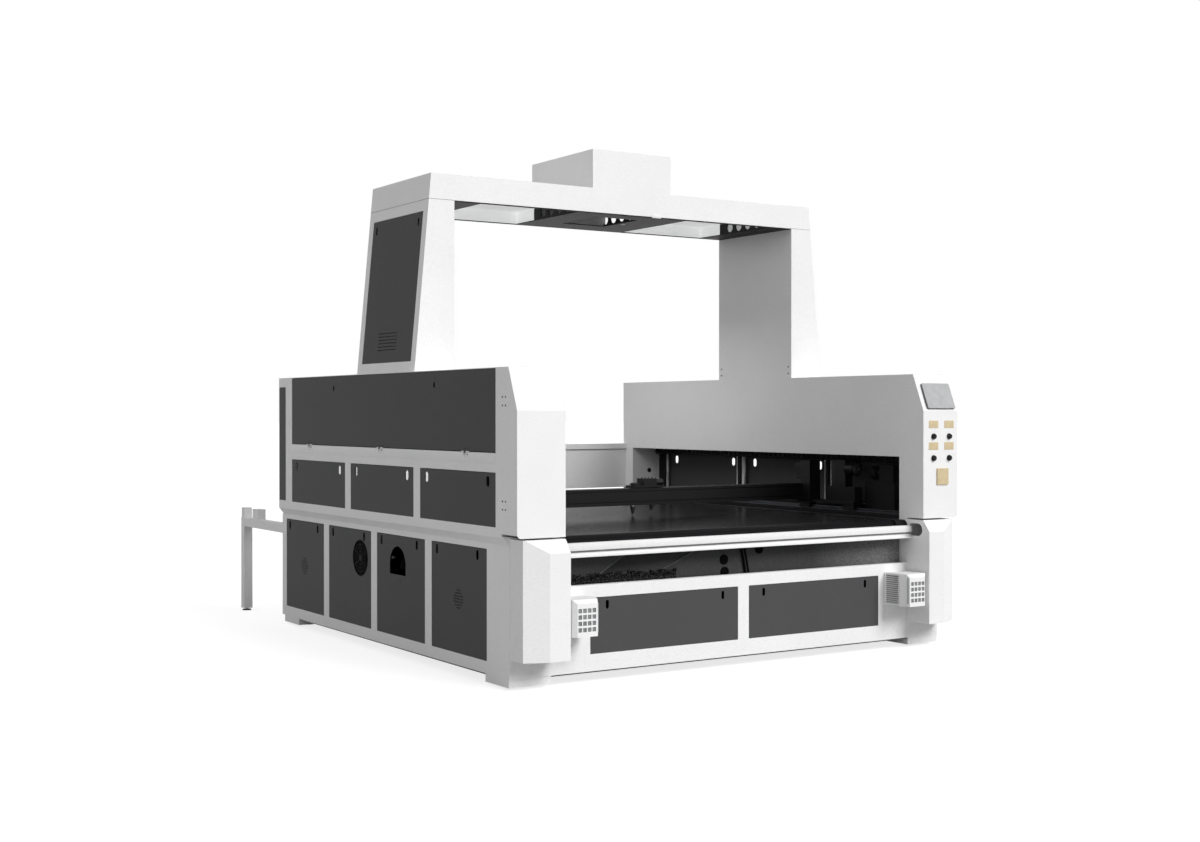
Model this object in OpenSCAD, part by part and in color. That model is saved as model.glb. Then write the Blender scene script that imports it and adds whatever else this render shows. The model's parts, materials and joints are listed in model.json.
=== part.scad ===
// Fabric laser cutting machine: a conveyor bed between two side housings,
// a laser gantry over the bed and a camera arch across the housings.
// Millimetres. X is across the machine, Y runs from the front to the back, Z is up.
// The sizes below are measured from the base cabinet's front face; every sub-part is
// then moved so that the origin is under the middle of the whole machine.

/* [Overall] */
// Width over the two side housings
body_w = 2500; // [2200:2:2800]
// Width of a side housing
housing_w = 231; // [228:1:300]
// Height over the box on the camera arch
body_h = 2457; // [2250:5:2700]
// Depth of the base cabinet
base_d = 2527; // [2270:1:2900]
// Height of the base cabinet's underside above the floor
base_lift = 47; // [40:1:80]
// Height of the base cabinet's top above the floor
base_top = 600; // [580:1:640]
// Height of the side housings above the base's top
housing_h = 741; // [660:1:850]
// How far each housing stands out beyond the base
skirt_out = 26; // [10:1:32]
// Height of the sloped skirt between the base and a housing
skirt_h = 34; // [20:1:40]
// How far the housings stop short of the back of the base
housing_short = 17; // [5:1:40]

/* [Sheet metal] */
// Thickness of the housings', legs' and beam's sheet
sheet_t = 3; // [2:0.5:4]
// Thickness of the folded frames that hold the panels
frame_t = 30; // [26:1:40]
// Thickness of the lift-off panels' sheet
panel_t = 2; // [1.5:0.5:3]
// Depth of the panels' folded edges
panel_fold = 20; // [12:1:24]
// Gap round a panel in its window
panel_gap = 2; // [1:0.5:4]

/* [Lower side windows] */
// Post in front of the first lower window
lower_post_front = 194; // [120:1:240]
// Post behind the last lower window
lower_post_rear = 61; // [40:1:100]
// Mullion between two lower windows
lower_mullion = 67; // [40:1:90]
// Height of the lower windows' sill above the floor
lower_sill = 100; // [85:1:120]
// Height of the rail above the lower windows
lower_head_h = 24; // [21:1:60]

/* [Rail bay windows] */
// Start of the housing windows behind the base's front
side_win_front = 70; // [60:1:100]
// Post behind the last housing window
side_post_rear = 205; // [187:1:260]
// Mullion between two rail bay windows
mid_mullion = 68; // [40:1:90]
// Height of the rail bay windows' sill above the base's top
mid_rise = 75; // [60:1:100]
// Height of the rail bay windows
mid_h = 228; // [180:1:240]

/* [Top flaps] */
// Height of the top flaps' sill above the tube shelf
flap_rise = 52; // [50:1:80]
// Gap under a top flap, where its hinges sit
flap_gap = 4; // [4:1:8]
// Hinges on each top flap
flap_hinges_n = 3; // [2:1:4]
// Length of a flap hinge
hinge_len = 60; // [45:1:90]
// Distance from a flap's end to the middle of its last hinge
hinge_inset = 258; // [150:1:300]
// Radius of a hinge pin
hinge_pin_r = 2.5; // [2:0.5:3]
// Radius of a hinge knuckle
hinge_knuckle_r = 4.5; // [4:0.5:5.5]
// Radial clearance of the hinge pins
hinge_clear = 0.05; // [0.02:0.01:0.1]

/* [Rear corner windows] */
// Distance from the rear corner window's front edge to the housing's back
corner_win_back = 98; // [80:1:115]
// Post behind the rear corner window
corner_post = 6; // [5:1:20]
// Height of the rear corner window's sill above the base's top
corner_rise = 77; // [60:1:100]
// Distance from the rear corner window's head to the housing's top
corner_drop = 50; // [41:1:90]

/* [Rail bays] */
// Start of the gantry window in a housing's inner wall
bay_front = 56; // [50:1:80]
// Distance from the end of that window to the base's back
bay_back = 120; // [118:1:150]
// Height of the gantry window, up to the tube shelf's underside
bay_h = 336; // [320:1:360]

/* [Front towers] */
// How far the upper front covers stand in front of the base
cover_out = 110; // [90:1:140]
// Height of the upper front covers' bottom edge above the base's top
cover_rise = 38; // [36:1:50]
// Height of an upper cover's sloped face
slope_h = 180; // [150:1:220]
// How far in front of the base the sloped face reaches the top
cover_top_out = 38; // [20:1:60]
// How far an upper cover runs back over its housing's front end
cover_back = 20; // [15:1:30]
// Radius of the upper covers' outer bottom corner
cover_corner_r = 20; // [8:1:40]
// How far the lower towers stand in front of the base
tower_out = 151; // [130:1:170]
// Width of a lower tower's flat front
tower_front_w = 99; // [60:1:140]
// How far in front of the base a lower tower's outer edge is
tower_side_out = 107; // [80:1:120]
// Height of the lower towers' underside
tower_bottom = 130; // [110:1:200]
// Height of the lower towers' top above the base's top
tower_rise = 30; // [10:1:35]
// Height of the bevel at a lower tower's top
tower_bevel = 55; // [20:1:80]
// Width of the slot in a lower tower's inner face
tower_slot_w = 94; // [70:1:100]
// Height of the slot in a lower tower's inner face
tower_slot_h = 61; // [40:1:66]
// Distance from that slot's centre to the tower's top
tower_slot_drop = 48; // [40:1:70]
// Thickness of the tower and cover sheet
cover_t = 2; // [1.5:0.5:3]

/* [Base front] */
// Height of the scrap opening and the front rail
front_drop = 183; // [160:1:200]
// Height of the front windows' sill
front_sill = 121; // [100:1:140]
// Height of the rail above the front windows
front_head_h = 54; // [42:1:77]
// Mullion between the two front windows
front_mullion = 62; // [40:1:100]
// Distance from a front window's outer edge to the passage's side
front_win_in = 191; // [180:1:300]

/* [Vent boxes] */
// Width of a vent box
vent_w = 136; // [110:1:140]
// Gap between a vent box and the tower beside it
vent_tower_gap = 15; // [5:1:20]
// How far a vent box stands out
vent_out = 153; // [120:1:155]
// Height of a vent box's underside
vent_bottom = 222; // [180:1:260]
// Height of a vent box
vent_h = 155; // [120:1:160]
// Width of the bevel on a vent box's inner edge
vent_bevel_x = 20; // [10:1:30]
// Depth of the bevel on a vent box's inner edge
vent_bevel_y = 47; // [20:1:60]
// Width of the bevel on its outer and top edges
vent_bevel = 16; // [8:1:20]
// Side of the square holes in a vent box's front
vent_hole = 18; // [12:1:19]
// Pitch of the square holes across
vent_pitch_x = 23; // [21:0.5:24]
// Pitch of the square holes upwards
vent_pitch_z = 26.5; // [22:0.5:28]
// Louvre slots in a vent box's inner side
vent_louvres = 14; // [8:1:15]

/* [Conveyor] */
// Height of the belt's upper face above the base's top
belt_rise = 30; // [26:1:32]
// Thickness of the belt
belt_t = 3; // [2:0.5:4]
// Gap between the belt's edge and the bed's side beam
belt_side = 13; // [5:1:60]
// Radius of the conveyor rollers
roller_r = 44; // [36:1:46]
// Gap between a roller and the belt
roller_gap = 0.4; // [0.3:0.1:0.8]
// Distance from the base's front to the front roller's axis
roller_inset = 50; // [49:1:70]
// Radius of the roller shafts
roller_shaft_r = 15; // [10:1:18]
// Radial clearance of the running shafts
shaft_clear = 0.05; // [0.02:0.01:0.1]
// Width of the bed's side beams
bed_beam_w = 70; // [50:1:74]
// Pitch of the bed's support slats
slat_pitch = 60; // [50:1:120]
// Thickness of a support slat
slat_t = 5; // [3:1:8]

/* [Front rail] */
// Height of the front rail
rail_h = 60; // [50:1:70]
// Depth of the front rail
rail_d = 24; // [18:1:40]
// Height of the rail's upper band
rail_band = 30; // [26:1:36]
// Height of the rail's groove
rail_groove = 7; // [3:1:10]

/* [Gantry] */
// Front face of the gantry beam behind the base's front, where it is parked
beam_y = 850; // [700:1:1000]
// Depth of the gantry beam
beam_d = 56; // [50:1:80]
// Height of the gantry beam's underside above the belt
beam_rise = 59; // [55:1:70]
// Height of the gantry beam
beam_h = 84; // [70:1:96]
// How far the gantry beam reaches into a rail bay
beam_reach = 46; // [35:1:60]
// Distance from the passage's side to a long rail's axis
rail_in = 99; // [90:1:104]
// Width of the linear rails
lin_rail_w = 20; // [15:1:25]
// Height of the linear rails
lin_rail_h = 18; // [14:1:22]
// Running gap of the linear bearings
slide_gap = 0.3; // [0.3:0.1:0.6]
// Height of the plinths that carry the long rails
plinth_h = 40; // [30:1:44]
// How far the gantry's drive reaches in front of the beam
drive_reach = 390; // [340:1:400]

/* [Cutting heads] */
// Distance between the two nozzles
nozzle_pitch = 114; // [100:1:120]
// Height of the lower nozzle's tip above the belt
nozzle_lift = 6; // [4:1:24]
// How far the right head is drawn up
head_up = 14; // [0:1:20]
// Radius of a head's barrel
head_r = 15; // [12:1:18]
// Width of the head carriage
carriage_w = 184; // [176:1:220]
// Middle of the head carriage across, where it is parked
carriage_x = 72; // [-200:1:200]

/* [Camera arch] */
// Front of the arch behind the base's front
arch_y = 882; // [800:1:950]
// Depth of the arch
arch_d = 642; // [600:1:700]
// Height of the arch's beam
arch_beam_h = 120; // [100:1:160]
// Inset of the legs' foot from the housing's side
leg_inset = 24; // [15:1:60]
// Lean of the legs' outer face over their height
leg_lean = 75; // [30:1:100]
// Width of the camera box
cam_box_w = 470; // [400:2:600]
// Middle of the camera box across
cam_box_x = -15; // [-60:1:60]
// Depth of the camera box
cam_box_d = 594; // [500:1:600]
// Height of the camera box
cam_box_h = 192; // [150:1:240]
// Half width of the dark plate round the camera
cam_plate_x = 330; // [280:1:360]
// Distance from a light panel's outer end to the passage's side
light_end_in = 149; // [120:1:220]
// Height of the light panels above the arch's underside
light_rise = 60; // [56:1:80]

/* [Operator panel] */
// Width of the screen
screen_w = 185; // [150:1:195]
// Height of the screen
screen_h = 132; // [100:1:150]
// Thickness of the screen
screen_t = 10; // [6:1:16]
// Radius of the push buttons' bezels
bezel_r = 14.5; // [13:0.5:16]
// Radius of the push buttons' caps
cap_r = 11.5; // [9:0.5:12]
// Travel of the push buttons
button_travel = 4; // [2:0.5:5]
// Distance between the two columns of buttons
button_pitch_x = 105; // [80:1:110]
// Distance between the two rows of buttons
button_pitch_z = 106; // [95:1:120]
// Distance from the upper row of buttons to the sloped face
button_drop = 124; // [100:1:150]

/* [Rear stands] */
// Side of the stands' square tube
stand_tube = 50; // [40:1:60]
// Distance from the base's back to a stand's leg
stand_reach = 603; // [500:1:700]
// How far a stand's arm lies below the base's top
stand_drop = 58; // [40:1:100]
// Height of the cradle on a stand
cradle_h = 58; // [40:1:70]
// Length of the cradle's front block
cradle_block = 87; // [60:1:110]
// Gap between the cradle's blocks, for the roll's bar
cradle_gap = 132; // [90:1:150]

/* [Feet] */
// Length of a foot pad
pad_len = 202; // [150:1:300]
// Width of a foot pad
pad_w = 198; // [120:1:220]
// Height of a levelling foot's disc
foot_disc_h = 6; // [5:1:8]
// Height from the floor to a foot pad's underside
pad_lift = 12; // [12:1:16]

/* [Rear cover] */
// Height of the rear cover's lower edge above the base's top
rear_cover_rise = 90; // [70:1:120]
// Height of the rear cover
rear_cover_h = 272; // [200:1:310]
// Depth of the rear cover
rear_cover_d = 27; // [20:1:60]

/* [Exhaust] */
// Radius of the exhaust spigot at the back
spigot_r = 100; // [80:1:103]
// Length of the exhaust spigot
spigot_len = 60; // [40:1:80]
// Height of the exhaust spigot's axis above the rear window's sill
spigot_rise = 106; // [104:1:110]

/* [Hidden] */
// Windows on each side of the base, and in each rail bay's outer wall
lower_count = 4;
mid_count = 3;
$fn = 48;
eps = 1;

white = "#f2f2f2";
charcoal = "#464646";
black = "#181818";
steel = "#b8bcc0";
beige = "#ddc7a0";
pale_grey = "#bebebe";
diffuser = "#e8ecec";

// Half widths
x_out = body_w / 2;
x_in = x_out - housing_w;
x_base = x_out - skirt_out;
// Ends of the housings and of the whole machine
housing_rear = base_d - housing_short;
front_reach = max(vent_out, tower_out);
rear_reach = base_d + stand_reach + stand_tube;
mid_y = (rear_reach - front_reach) / 2;
// Heights above the floor
housing_top = base_top + housing_h;
bay_top = base_top + bay_h;
belt_top = base_top + belt_rise;
beam_z = belt_top + beam_rise;
front_top = base_top - front_drop;
front_head = front_top - front_head_h;
front_win_x = x_in - front_win_in;
// Clearances
seat = 0.3;
stand_off = 1;
bed_clear = 8;

// Lower side windows
lower_w = (base_d - lower_post_front - lower_post_rear
  - (lower_count - 1) * lower_mullion) / lower_count;
lower_head = base_top - lower_head_h;
lower_h = lower_head - lower_sill;
function lower_y(i) = lower_post_front + i * (lower_w + lower_mullion);

// Rail bay windows and top flaps
side_win_rear = base_d - side_post_rear;
mid_w = (side_win_rear - side_win_front - (mid_count - 1) * mid_mullion) / mid_count;
mid_sill = base_top + mid_rise;
mid_head = mid_sill + mid_h;
flap_sill = bay_top + flap_rise;
corner_win_front = housing_rear - corner_win_back;
corner_win_w = corner_win_back - corner_post;
corner_sill = base_top + corner_rise;
corner_head = housing_top - corner_drop;
bay_rear = base_d - bay_back;
function mid_win_y(i) = side_win_front + i * (mid_w + mid_mullion);
flap_l = side_win_rear - side_win_front - 2 * panel_gap;
flap_h = housing_top - sheet_t - panel_gap - flap_sill;
hinge_x = x_out + hinge_knuckle_r + 0.5;
hinge_z = flap_sill - flap_gap;
hinge_side_gap = 0.4;
function hinge_y(i) = side_win_front + hinge_inset - hinge_len / 2
  + i * (side_win_rear - side_win_front - 2 * hinge_inset) / (flap_hinges_n - 1);

// Conveyor
bend_r = roller_r + roller_gap;
roller_z = belt_top - belt_t - bend_r;
roller_front_y = roller_inset;
roller_rear_y = base_d - roller_inset;
bed_beam_x = x_in - bed_beam_w;
belt_w = 2 * (bed_beam_x - belt_side);
belt_low = roller_z - bend_r - belt_t;
shaft_reach = 45;

// Gantry
rail_x = x_in + rail_in;
beam_len = 2 * (x_in + beam_reach);
block_w = lin_rail_w + 28;
saddle_t = 14;
saddle_z = beam_z - saddle_t;
drive_front = beam_y - drive_reach;

// Cutting heads, behind the beam
beam_rear = beam_y + beam_d;
beam_top = beam_z + beam_h;
carriage_gap = 3;
carriage_rear = beam_rear + 29;
head_y = carriage_rear + head_r + 2;
nozzle_mid = 16;
nozzle_tip = belt_top + nozzle_lift;

// Arch
arch_top = body_h - cam_box_h;
arch_under = arch_top - arch_beam_h;
leg_foot_x = x_out - leg_inset;
leg_top_x = leg_foot_x - leg_lean;
leg_h = arch_under - housing_top;
lean_angle = atan(leg_lean / leg_h);
beam_side_x = leg_top_x - arch_beam_h * leg_lean / leg_h;
light_end_x = x_in - light_end_in;
leg_win_y = 48;
leg_win_low = 50;
leg_win_h = leg_h - 100;

// Front towers and operator panel
cover_bottom = base_top + cover_rise;
cover_bend = housing_top - slope_h;
tower_top = base_top + tower_rise;
tower_slot_z = tower_top - tower_slot_drop;
button_z = cover_bend - button_drop;
panel_x = (x_in + x_out) / 2 + 4;
bend_angle = atan((cover_out - cover_top_out) / (housing_top - cover_bend));
screen_low = 10;
button_hole_r = 11.1;
button_stem_r = 9;
bezel_t = 5;
cap_rest = button_travel + 1.5;

// Laser tubes
tube_r = 40;
tube_len = 1850;
tube_z = (bay_top + sheet_t + housing_top) / 2 - 30;
tube_y = (side_win_front + side_win_rear - tube_len) / 2;
saddle_gap = 1250;

// Fan in the third lower panel on the left
fan_in = 128;
fan_y = lower_y(2) + fan_in;
fan_z = 436;
fan_r = 90;
fan_bore = fan_r - 3;
fan_hub_r = 28;
fan_depth = 38;

// A box given by its ranges along X, Y and Z
module block(x, y, z)
  translate([x[0], y[0], z[0]]) cube([x[1] - x[0], y[1] - y[0], z[1] - z[0]]);

// Outlines extruded along an axis, from the given coordinate
module along_x(x, t) translate([x, 0, 0]) rotate([90, 0, 90]) linear_extrude(t) children();
module along_y(y, t) translate([0, y + t, 0]) rotate([90, 0, 0]) linear_extrude(t) children();

// Cylinders along X and Y, starting at a point
module rod_x(p, r, l) translate(p) rotate([0, 90, 0]) cylinder(r = r, h = l);
module rod_y(p, r, l) translate(p) rotate([-90, 0, 0]) cylinder(r = r, h = l);

// The machine's frame: origin on the floor under its middle
module placed() translate([0, -mid_y, 0]) children();

// Draws the right-hand piece, or its mirror image on the left
module on_side(side) {
  if (side == "left") mirror([1, 0, 0]) children();
  else children();
}

// An upright slot with round ends
module stadium(w, h) {
  square([w, h - w], center = true);
  for (s = [-1, 1]) translate([0, s * (h - w) / 2]) circle(d = w);
}

// A rectangle with round corners, centred
module round_rect(w, h, r) {
  square([w - 2 * r, h], center = true);
  square([w, h - 2 * r], center = true);
  for (s = [-1, 1], u = [-1, 1]) translate([s * (w / 2 - r), u * (h / 2 - r)]) circle(r);
}

// A convex outline, given anticlockwise, moved inwards by d
function inset(p, d) = let (n = len(p)) [for (i = [0:n - 1])
  let (a = p[(i + n - 1) % n], b = p[i], c = p[(i + 1) % n],
       u = (b - a) / norm(b - a), v = (c - b) / norm(c - b),
       nu = [-u[1], u[0]], nv = [-v[1], v[0]])
  b + (nu + nv) * d / (1 + nu * nv)];

// A folded panel: its face on z = 0 from the origin, its edges folded towards -z.
// The children are cut out of it.
module pan(w, h) difference() {
  translate([0, 0, -panel_fold]) cube([w, h, panel_fold]);
  translate([panel_t, panel_t, -panel_fold - eps])
    cube([w - 2 * panel_t, h - 2 * panel_t, panel_fold - panel_t + eps]);
  children();
}

// Finger slots near a panel's top corners, at the given distances from its two ends
module finger_slots(w, h, ends, down, slot_w, slot_h)
  for (x = [ends[0], w - ends[1]])
    translate([x, h - down, -panel_fold]) linear_extrude(panel_fold + eps) stadium(slot_w, slot_h);

// A round field of holes
module vent_field(x, y, r, hole_r, pitch) {
  n = floor(r / pitch);
  for (i = [-n:n], j = [-n:n])
    if (norm([i, j]) * pitch <= r)
      translate([x + i * pitch, y + j * pitch, -panel_fold]) cylinder(r = hole_r, h = panel_fold + eps, $fn = 24);
}

// Moves a panel's local frame to a window in a side, front or rear wall
module facing_side(x, y, z) translate([x, y, z]) rotate([90, 0, 90]) children();
module facing_front(x, y, z) translate([x, y, z]) rotate([90, 0, 0]) children();
module facing_rear(x, y, z) translate([x, y, z]) rotate([90, 0, 180]) children();

// ---- Base cabinet ----

pad_edge = 4;
pad_ys = [pad_edge, base_d - pad_len - 9 * pad_edge];
foot_bore_r = 8.05;

module base_frame() color(white) placed() {
  difference() {
    union() {
      difference() {
        block([-x_base, x_base], [0, base_d], [base_lift, base_top]);
        block([frame_t - x_base, x_base - frame_t], [frame_t, base_d - frame_t],
          [base_lift - eps, base_top + eps]);
      }
      for (s = [-1, 1], y = pad_ys)
        translate([s * (x_base - pad_w / 2) - pad_w / 2, y, pad_lift])
          cube([pad_w, pad_len, base_lift - pad_lift + frame_t]);
    }
    for (i = [0:lower_count - 1])
      block([-x_base - eps, x_base + eps], [lower_y(i), lower_y(i) + lower_w], [lower_sill, lower_head]);
    for (x = [[-front_win_x, -front_mullion / 2], [front_mullion / 2, front_win_x]])
      block(x, [-eps, frame_t + eps], [front_sill, front_head]);
    block([-front_win_x, front_win_x], [base_d - frame_t - eps, base_d + eps], [lower_sill, front_top]);
    block([-x_in, x_in], [-eps, frame_t + eps], [front_top, base_top + eps]);
    block([-x_in, x_in], [base_d - frame_t - eps, base_d + eps], [belt_low - bed_clear, base_top + eps]);
    for (s = [-1, 1], y = pad_ys)
      translate([s * (x_base - pad_w / 2), y + pad_len / 2, pad_lift - eps])
        cylinder(r = foot_bore_r, h = base_lift - pad_lift - 8);
  }
  // Cheeks beside the bed and the decks that carry the long rails
  for (side = ["left", "right"]) on_side(side) {
    block([x_in, x_in + sheet_t], [frame_t, base_d - frame_t], [front_top, base_top]);
    block([x_in, x_base - frame_t], [frame_t, base_d - frame_t], [base_top - 2 * sheet_t, base_top]);
  }
  // Floor cross members under the mullions
  for (i = [0:lower_count - 2])
    block([frame_t - x_base, x_base - frame_t],
      [lower_y(i) + lower_w, lower_y(i) + lower_w + lower_mullion], [base_lift, base_lift + frame_t]);
}

module levelling_feet() color(black) placed()
  for (s = [-1, 1], y = pad_ys)
    translate([s * (x_base - pad_w / 2), y + pad_len / 2, 0]) {
      cylinder(r = 30, h = foot_disc_h);
      cylinder(r = foot_bore_r - 0.05, h = base_lift - 12);
      cylinder(r = 14, h = pad_lift, $fn = 6);
    }

// ---- Lift-off panels of the base ----

lower_panel_w = lower_w - 2 * panel_gap;
lower_panel_h = lower_h - panel_gap;
lower_slot_ends = [82, 51];
vent_field_r = 46;
duct_w = 172;
duct_rise = 47;
duct_z = 390;
duct_off = 28;

module lower_panel(i) {
  facing_side(x_base, lower_y(i) + panel_gap, lower_sill) pan(lower_panel_w, lower_panel_h) {
    finger_slots(lower_panel_w, lower_panel_h, lower_slot_ends, 31, 22, 44);
    children();
  }
}

module side_vent()
  vent_field(lower_panel_w / 2, lower_panel_h / 2, vent_field_r, 4, 13);

module left_lower_panel_1() color(charcoal) placed() on_side("left") lower_panel(0) side_vent();

// Arched duct opening with a flat foot
module left_lower_panel_2() color(charcoal) placed() on_side("left") lower_panel(1)
  translate([lower_panel_w / 2 + duct_off, duct_z - lower_sill, -panel_fold]) linear_extrude(panel_fold + eps) {
    translate([-duct_w / 2, 0]) square([duct_w, duct_rise]);
    translate([0, duct_rise]) intersection() {
      circle(duct_w / 2);
      translate([-duct_w, 0]) square([2 * duct_w, duct_w]);
    }
  }

module left_lower_panel_3() color(charcoal) placed() on_side("left")
  lower_panel(2) translate([fan_y - lower_y(2) - panel_gap, fan_z - lower_sill, -panel_fold])
    cylinder(r = fan_r, h = panel_fold + eps);

// Local frame of the fan behind that panel: z inwards from the panel's face
module at_fan() placed() on_side("left") translate([x_base, fan_y, fan_z]) rotate([0, -90, 0]) children();

// The fan's frame with its guard and spindle
module fan_frame() color(black) at_fan() {
  difference() {
    union() {
      translate([-fan_r - 8, -fan_r - 8, panel_t]) cube([2 * fan_r + 16, 2 * fan_r + 16, fan_depth + 8]);
      translate([0, 0, 0.5]) cylinder(r = fan_r - seat, h = panel_t + 4);
    }
    translate([0, 0, -eps]) cylinder(r = fan_bore, h = 2 * fan_depth);
  }
  for (r = [32, 50, 68]) translate([0, 0, 0.5]) difference() {
    cylinder(r = r + 1.5, h = 3);
    translate([0, 0, -eps]) cylinder(r = r - 1.5, h = 5);
  }
  translate([0, 0, 0.5]) cylinder(r = 16, h = 3);
  for (a = [0:60:120]) rotate(a) translate([-fan_bore - 1.5, -1.5, 1]) cube([2 * fan_bore + 3, 3, 2]);
  for (a = [30, 120]) rotate(a) translate([-fan_bore - 1.5, -5, panel_t + fan_depth + 2])
    cube([2 * fan_bore + 3, 10, 5]);
  translate([0, 0, 2]) cylinder(r = 5, h = panel_t + fan_depth + 2);
  translate([0, 0, 2]) cylinder(r = 8, h = panel_t + 1);
}

module fan_rotor() color(black) at_fan() translate([0, 0, panel_t + 4]) difference() {
  union() {
    cylinder(r = fan_hub_r, h = fan_depth - 6);
    for (a = [0:360 / 7:359]) rotate(a) translate([fan_hub_r - 3, 0, (fan_depth - 6) / 2])
      rotate([38, 0, 0]) translate([0, -19, -1.5]) cube([fan_bore - fan_hub_r, 38, 3]);
  }
  translate([0, 0, -eps]) cylinder(r = 5 + shaft_clear, h = fan_depth);
}

module left_lower_panel_4() color(charcoal) placed() on_side("left") lower_panel(3) side_vent();
module right_lower_panel_1() color(charcoal) placed() lower_panel(0) side_vent();
module right_lower_panel_2() color(charcoal) placed() lower_panel(1);
module right_lower_panel_3() color(charcoal) placed() lower_panel(2);
module right_lower_panel_4() color(charcoal) placed() lower_panel(3) side_vent();

front_panel_w = front_win_x - front_mullion / 2 - 2 * panel_gap;
front_panel_h = front_head - front_sill - panel_gap;
front_slot_ends = [85, 85];

module front_panels() color(charcoal) placed()
  for (x = [panel_gap - front_win_x, front_mullion / 2 + panel_gap])
    facing_front(x, 0, front_sill) pan(front_panel_w, front_panel_h)
      finger_slots(front_panel_w, front_panel_h, front_slot_ends, 32, 16, 38);

// Rear panel with the exhaust spigot and a cable gland
spigot_z = lower_sill + spigot_rise;
rear_panel_w = 2 * (front_win_x - panel_gap);
rear_panel_h = front_top - lower_sill - panel_gap;
gland_x = 600;
gland_r = 10;

module rear_panel() color(charcoal) placed() difference() {
  union() {
    facing_rear(front_win_x - panel_gap, base_d, lower_sill) pan(rear_panel_w, rear_panel_h)
      finger_slots(rear_panel_w, rear_panel_h, front_slot_ends, 42, 16, 38);
    rod_y([0, base_d - panel_t, spigot_z], spigot_r, spigot_len + panel_t);
    rod_y([gland_x, base_d - panel_t, lower_sill + 80], gland_r + 9, 25 + panel_t);
  }
  rod_y([0, base_d - panel_fold, spigot_z], spigot_r - 2, spigot_len + panel_fold + eps);
  rod_y([gland_x, base_d - panel_fold, lower_sill + 80], gland_r, 30 + panel_fold);
}

// Folded cover between the housings, above the slot that the cloth is fed through
rear_cover_low = base_top + rear_cover_rise;
rear_cover_top = rear_cover_low + rear_cover_h;

rear_cover_front = housing_rear - rear_cover_d;
cover_cap_h = 32;
cover_step = 7;

module rear_cover() color(white) placed() difference() {
  block([-x_in, x_in], [rear_cover_front - cover_step, housing_rear], [rear_cover_low, rear_cover_top]);
  // The wall under the cap stands back, with a shadow gap under the cap
  block([-x_in - eps, x_in + eps], [rear_cover_front - cover_step - eps, rear_cover_front],
    [rear_cover_low - eps, rear_cover_top - cover_cap_h]);
  block([-x_in - eps, x_in + eps], [rear_cover_front - eps, rear_cover_front + cover_step],
    [rear_cover_top - cover_cap_h - cover_step, rear_cover_top - cover_cap_h]);
  block([sheet_t - x_in, x_in - sheet_t], [rear_cover_front + cover_step + sheet_t, housing_rear + eps],
    [rear_cover_low + sheet_t, rear_cover_top - sheet_t]);
}

// ---- Side housings ----

tube_x = (x_in + x_out) / 2 - 10;

module housing() {
  outline = [[x_in, base_top], [x_base, base_top], [x_out, base_top + skirt_h],
    [x_out, housing_top], [x_in, housing_top]];
  hollow = [[x_in + sheet_t, base_top - eps], [x_base - frame_t, base_top - eps],
    [x_base - frame_t, base_top], [x_out - frame_t, base_top + skirt_h],
    [x_out - frame_t, housing_top - sheet_t], [x_in + sheet_t, housing_top - sheet_t]];
  difference() {
    along_y(0, housing_rear) polygon(outline);
    along_y(cover_back + sheet_t, housing_rear - cover_back - 2 * sheet_t) polygon(hollow);
    // Step that the front cover stands on
    block([x_in - eps, x_out + eps], [-eps, cover_back], [cover_bottom, housing_top + eps]);
    block([x_in + sheet_t, x_base - frame_t], [sheet_t, cover_back + sheet_t + eps],
      [base_top - eps, cover_bottom - sheet_t]);
    block([x_in - eps, x_in + sheet_t + eps], [bay_front, bay_rear], [base_top - eps, bay_top]);
    for (i = [0:mid_count - 1])
      block([x_out - frame_t - eps, x_out + eps], [mid_win_y(i), mid_win_y(i) + mid_w], [mid_sill, mid_head]);
    block([x_out - frame_t - eps, x_out + eps], [side_win_front, side_win_rear],
      [hinge_z, housing_top - sheet_t]);
    block([x_out - frame_t - eps, x_out + eps], [corner_win_front, corner_win_front + corner_win_w],
      [corner_sill, corner_head]);
  }
  // Shelf under the laser tube, bulkhead and the tube's saddles
  block([x_in, x_out - frame_t + eps], [cover_back + eps, housing_rear - eps],
    [bay_top, bay_top + sheet_t]);
  block([x_in + eps, x_out - frame_t + eps],
    [bay_rear, bay_rear + sheet_t], [base_top, bay_top + eps]);
  for (s = [-1, 1]) difference() {
    translate([tube_x - 50, tube_y + tube_len / 2 + s * saddle_gap / 2 - 20, bay_top])
      cube([100, 40, tube_z - bay_top]);
    rod_y([tube_x, tube_y, tube_z], tube_r + seat, tube_len);
  }
}

module left_housing() color(white) placed() on_side("left") housing();
module right_housing() color(white) placed() housing();

mid_panel_w = mid_w - 2 * panel_gap;
mid_panel_h = mid_h - panel_gap;
mid_slot_ends = [65, 65];

module mid_panels() for (i = [0:mid_count - 1])
  facing_side(x_out, mid_win_y(i) + panel_gap, mid_sill) pan(mid_panel_w, mid_panel_h)
    finger_slots(mid_panel_w, mid_panel_h, mid_slot_ends, 37, 28, 46);

module left_mid_panels() color(charcoal) placed() on_side("left") mid_panels();
module right_mid_panels() color(charcoal) placed() mid_panels();

// Top flap with the moving knuckles of its hinges
knuckle_len = hinge_len / 3;

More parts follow.
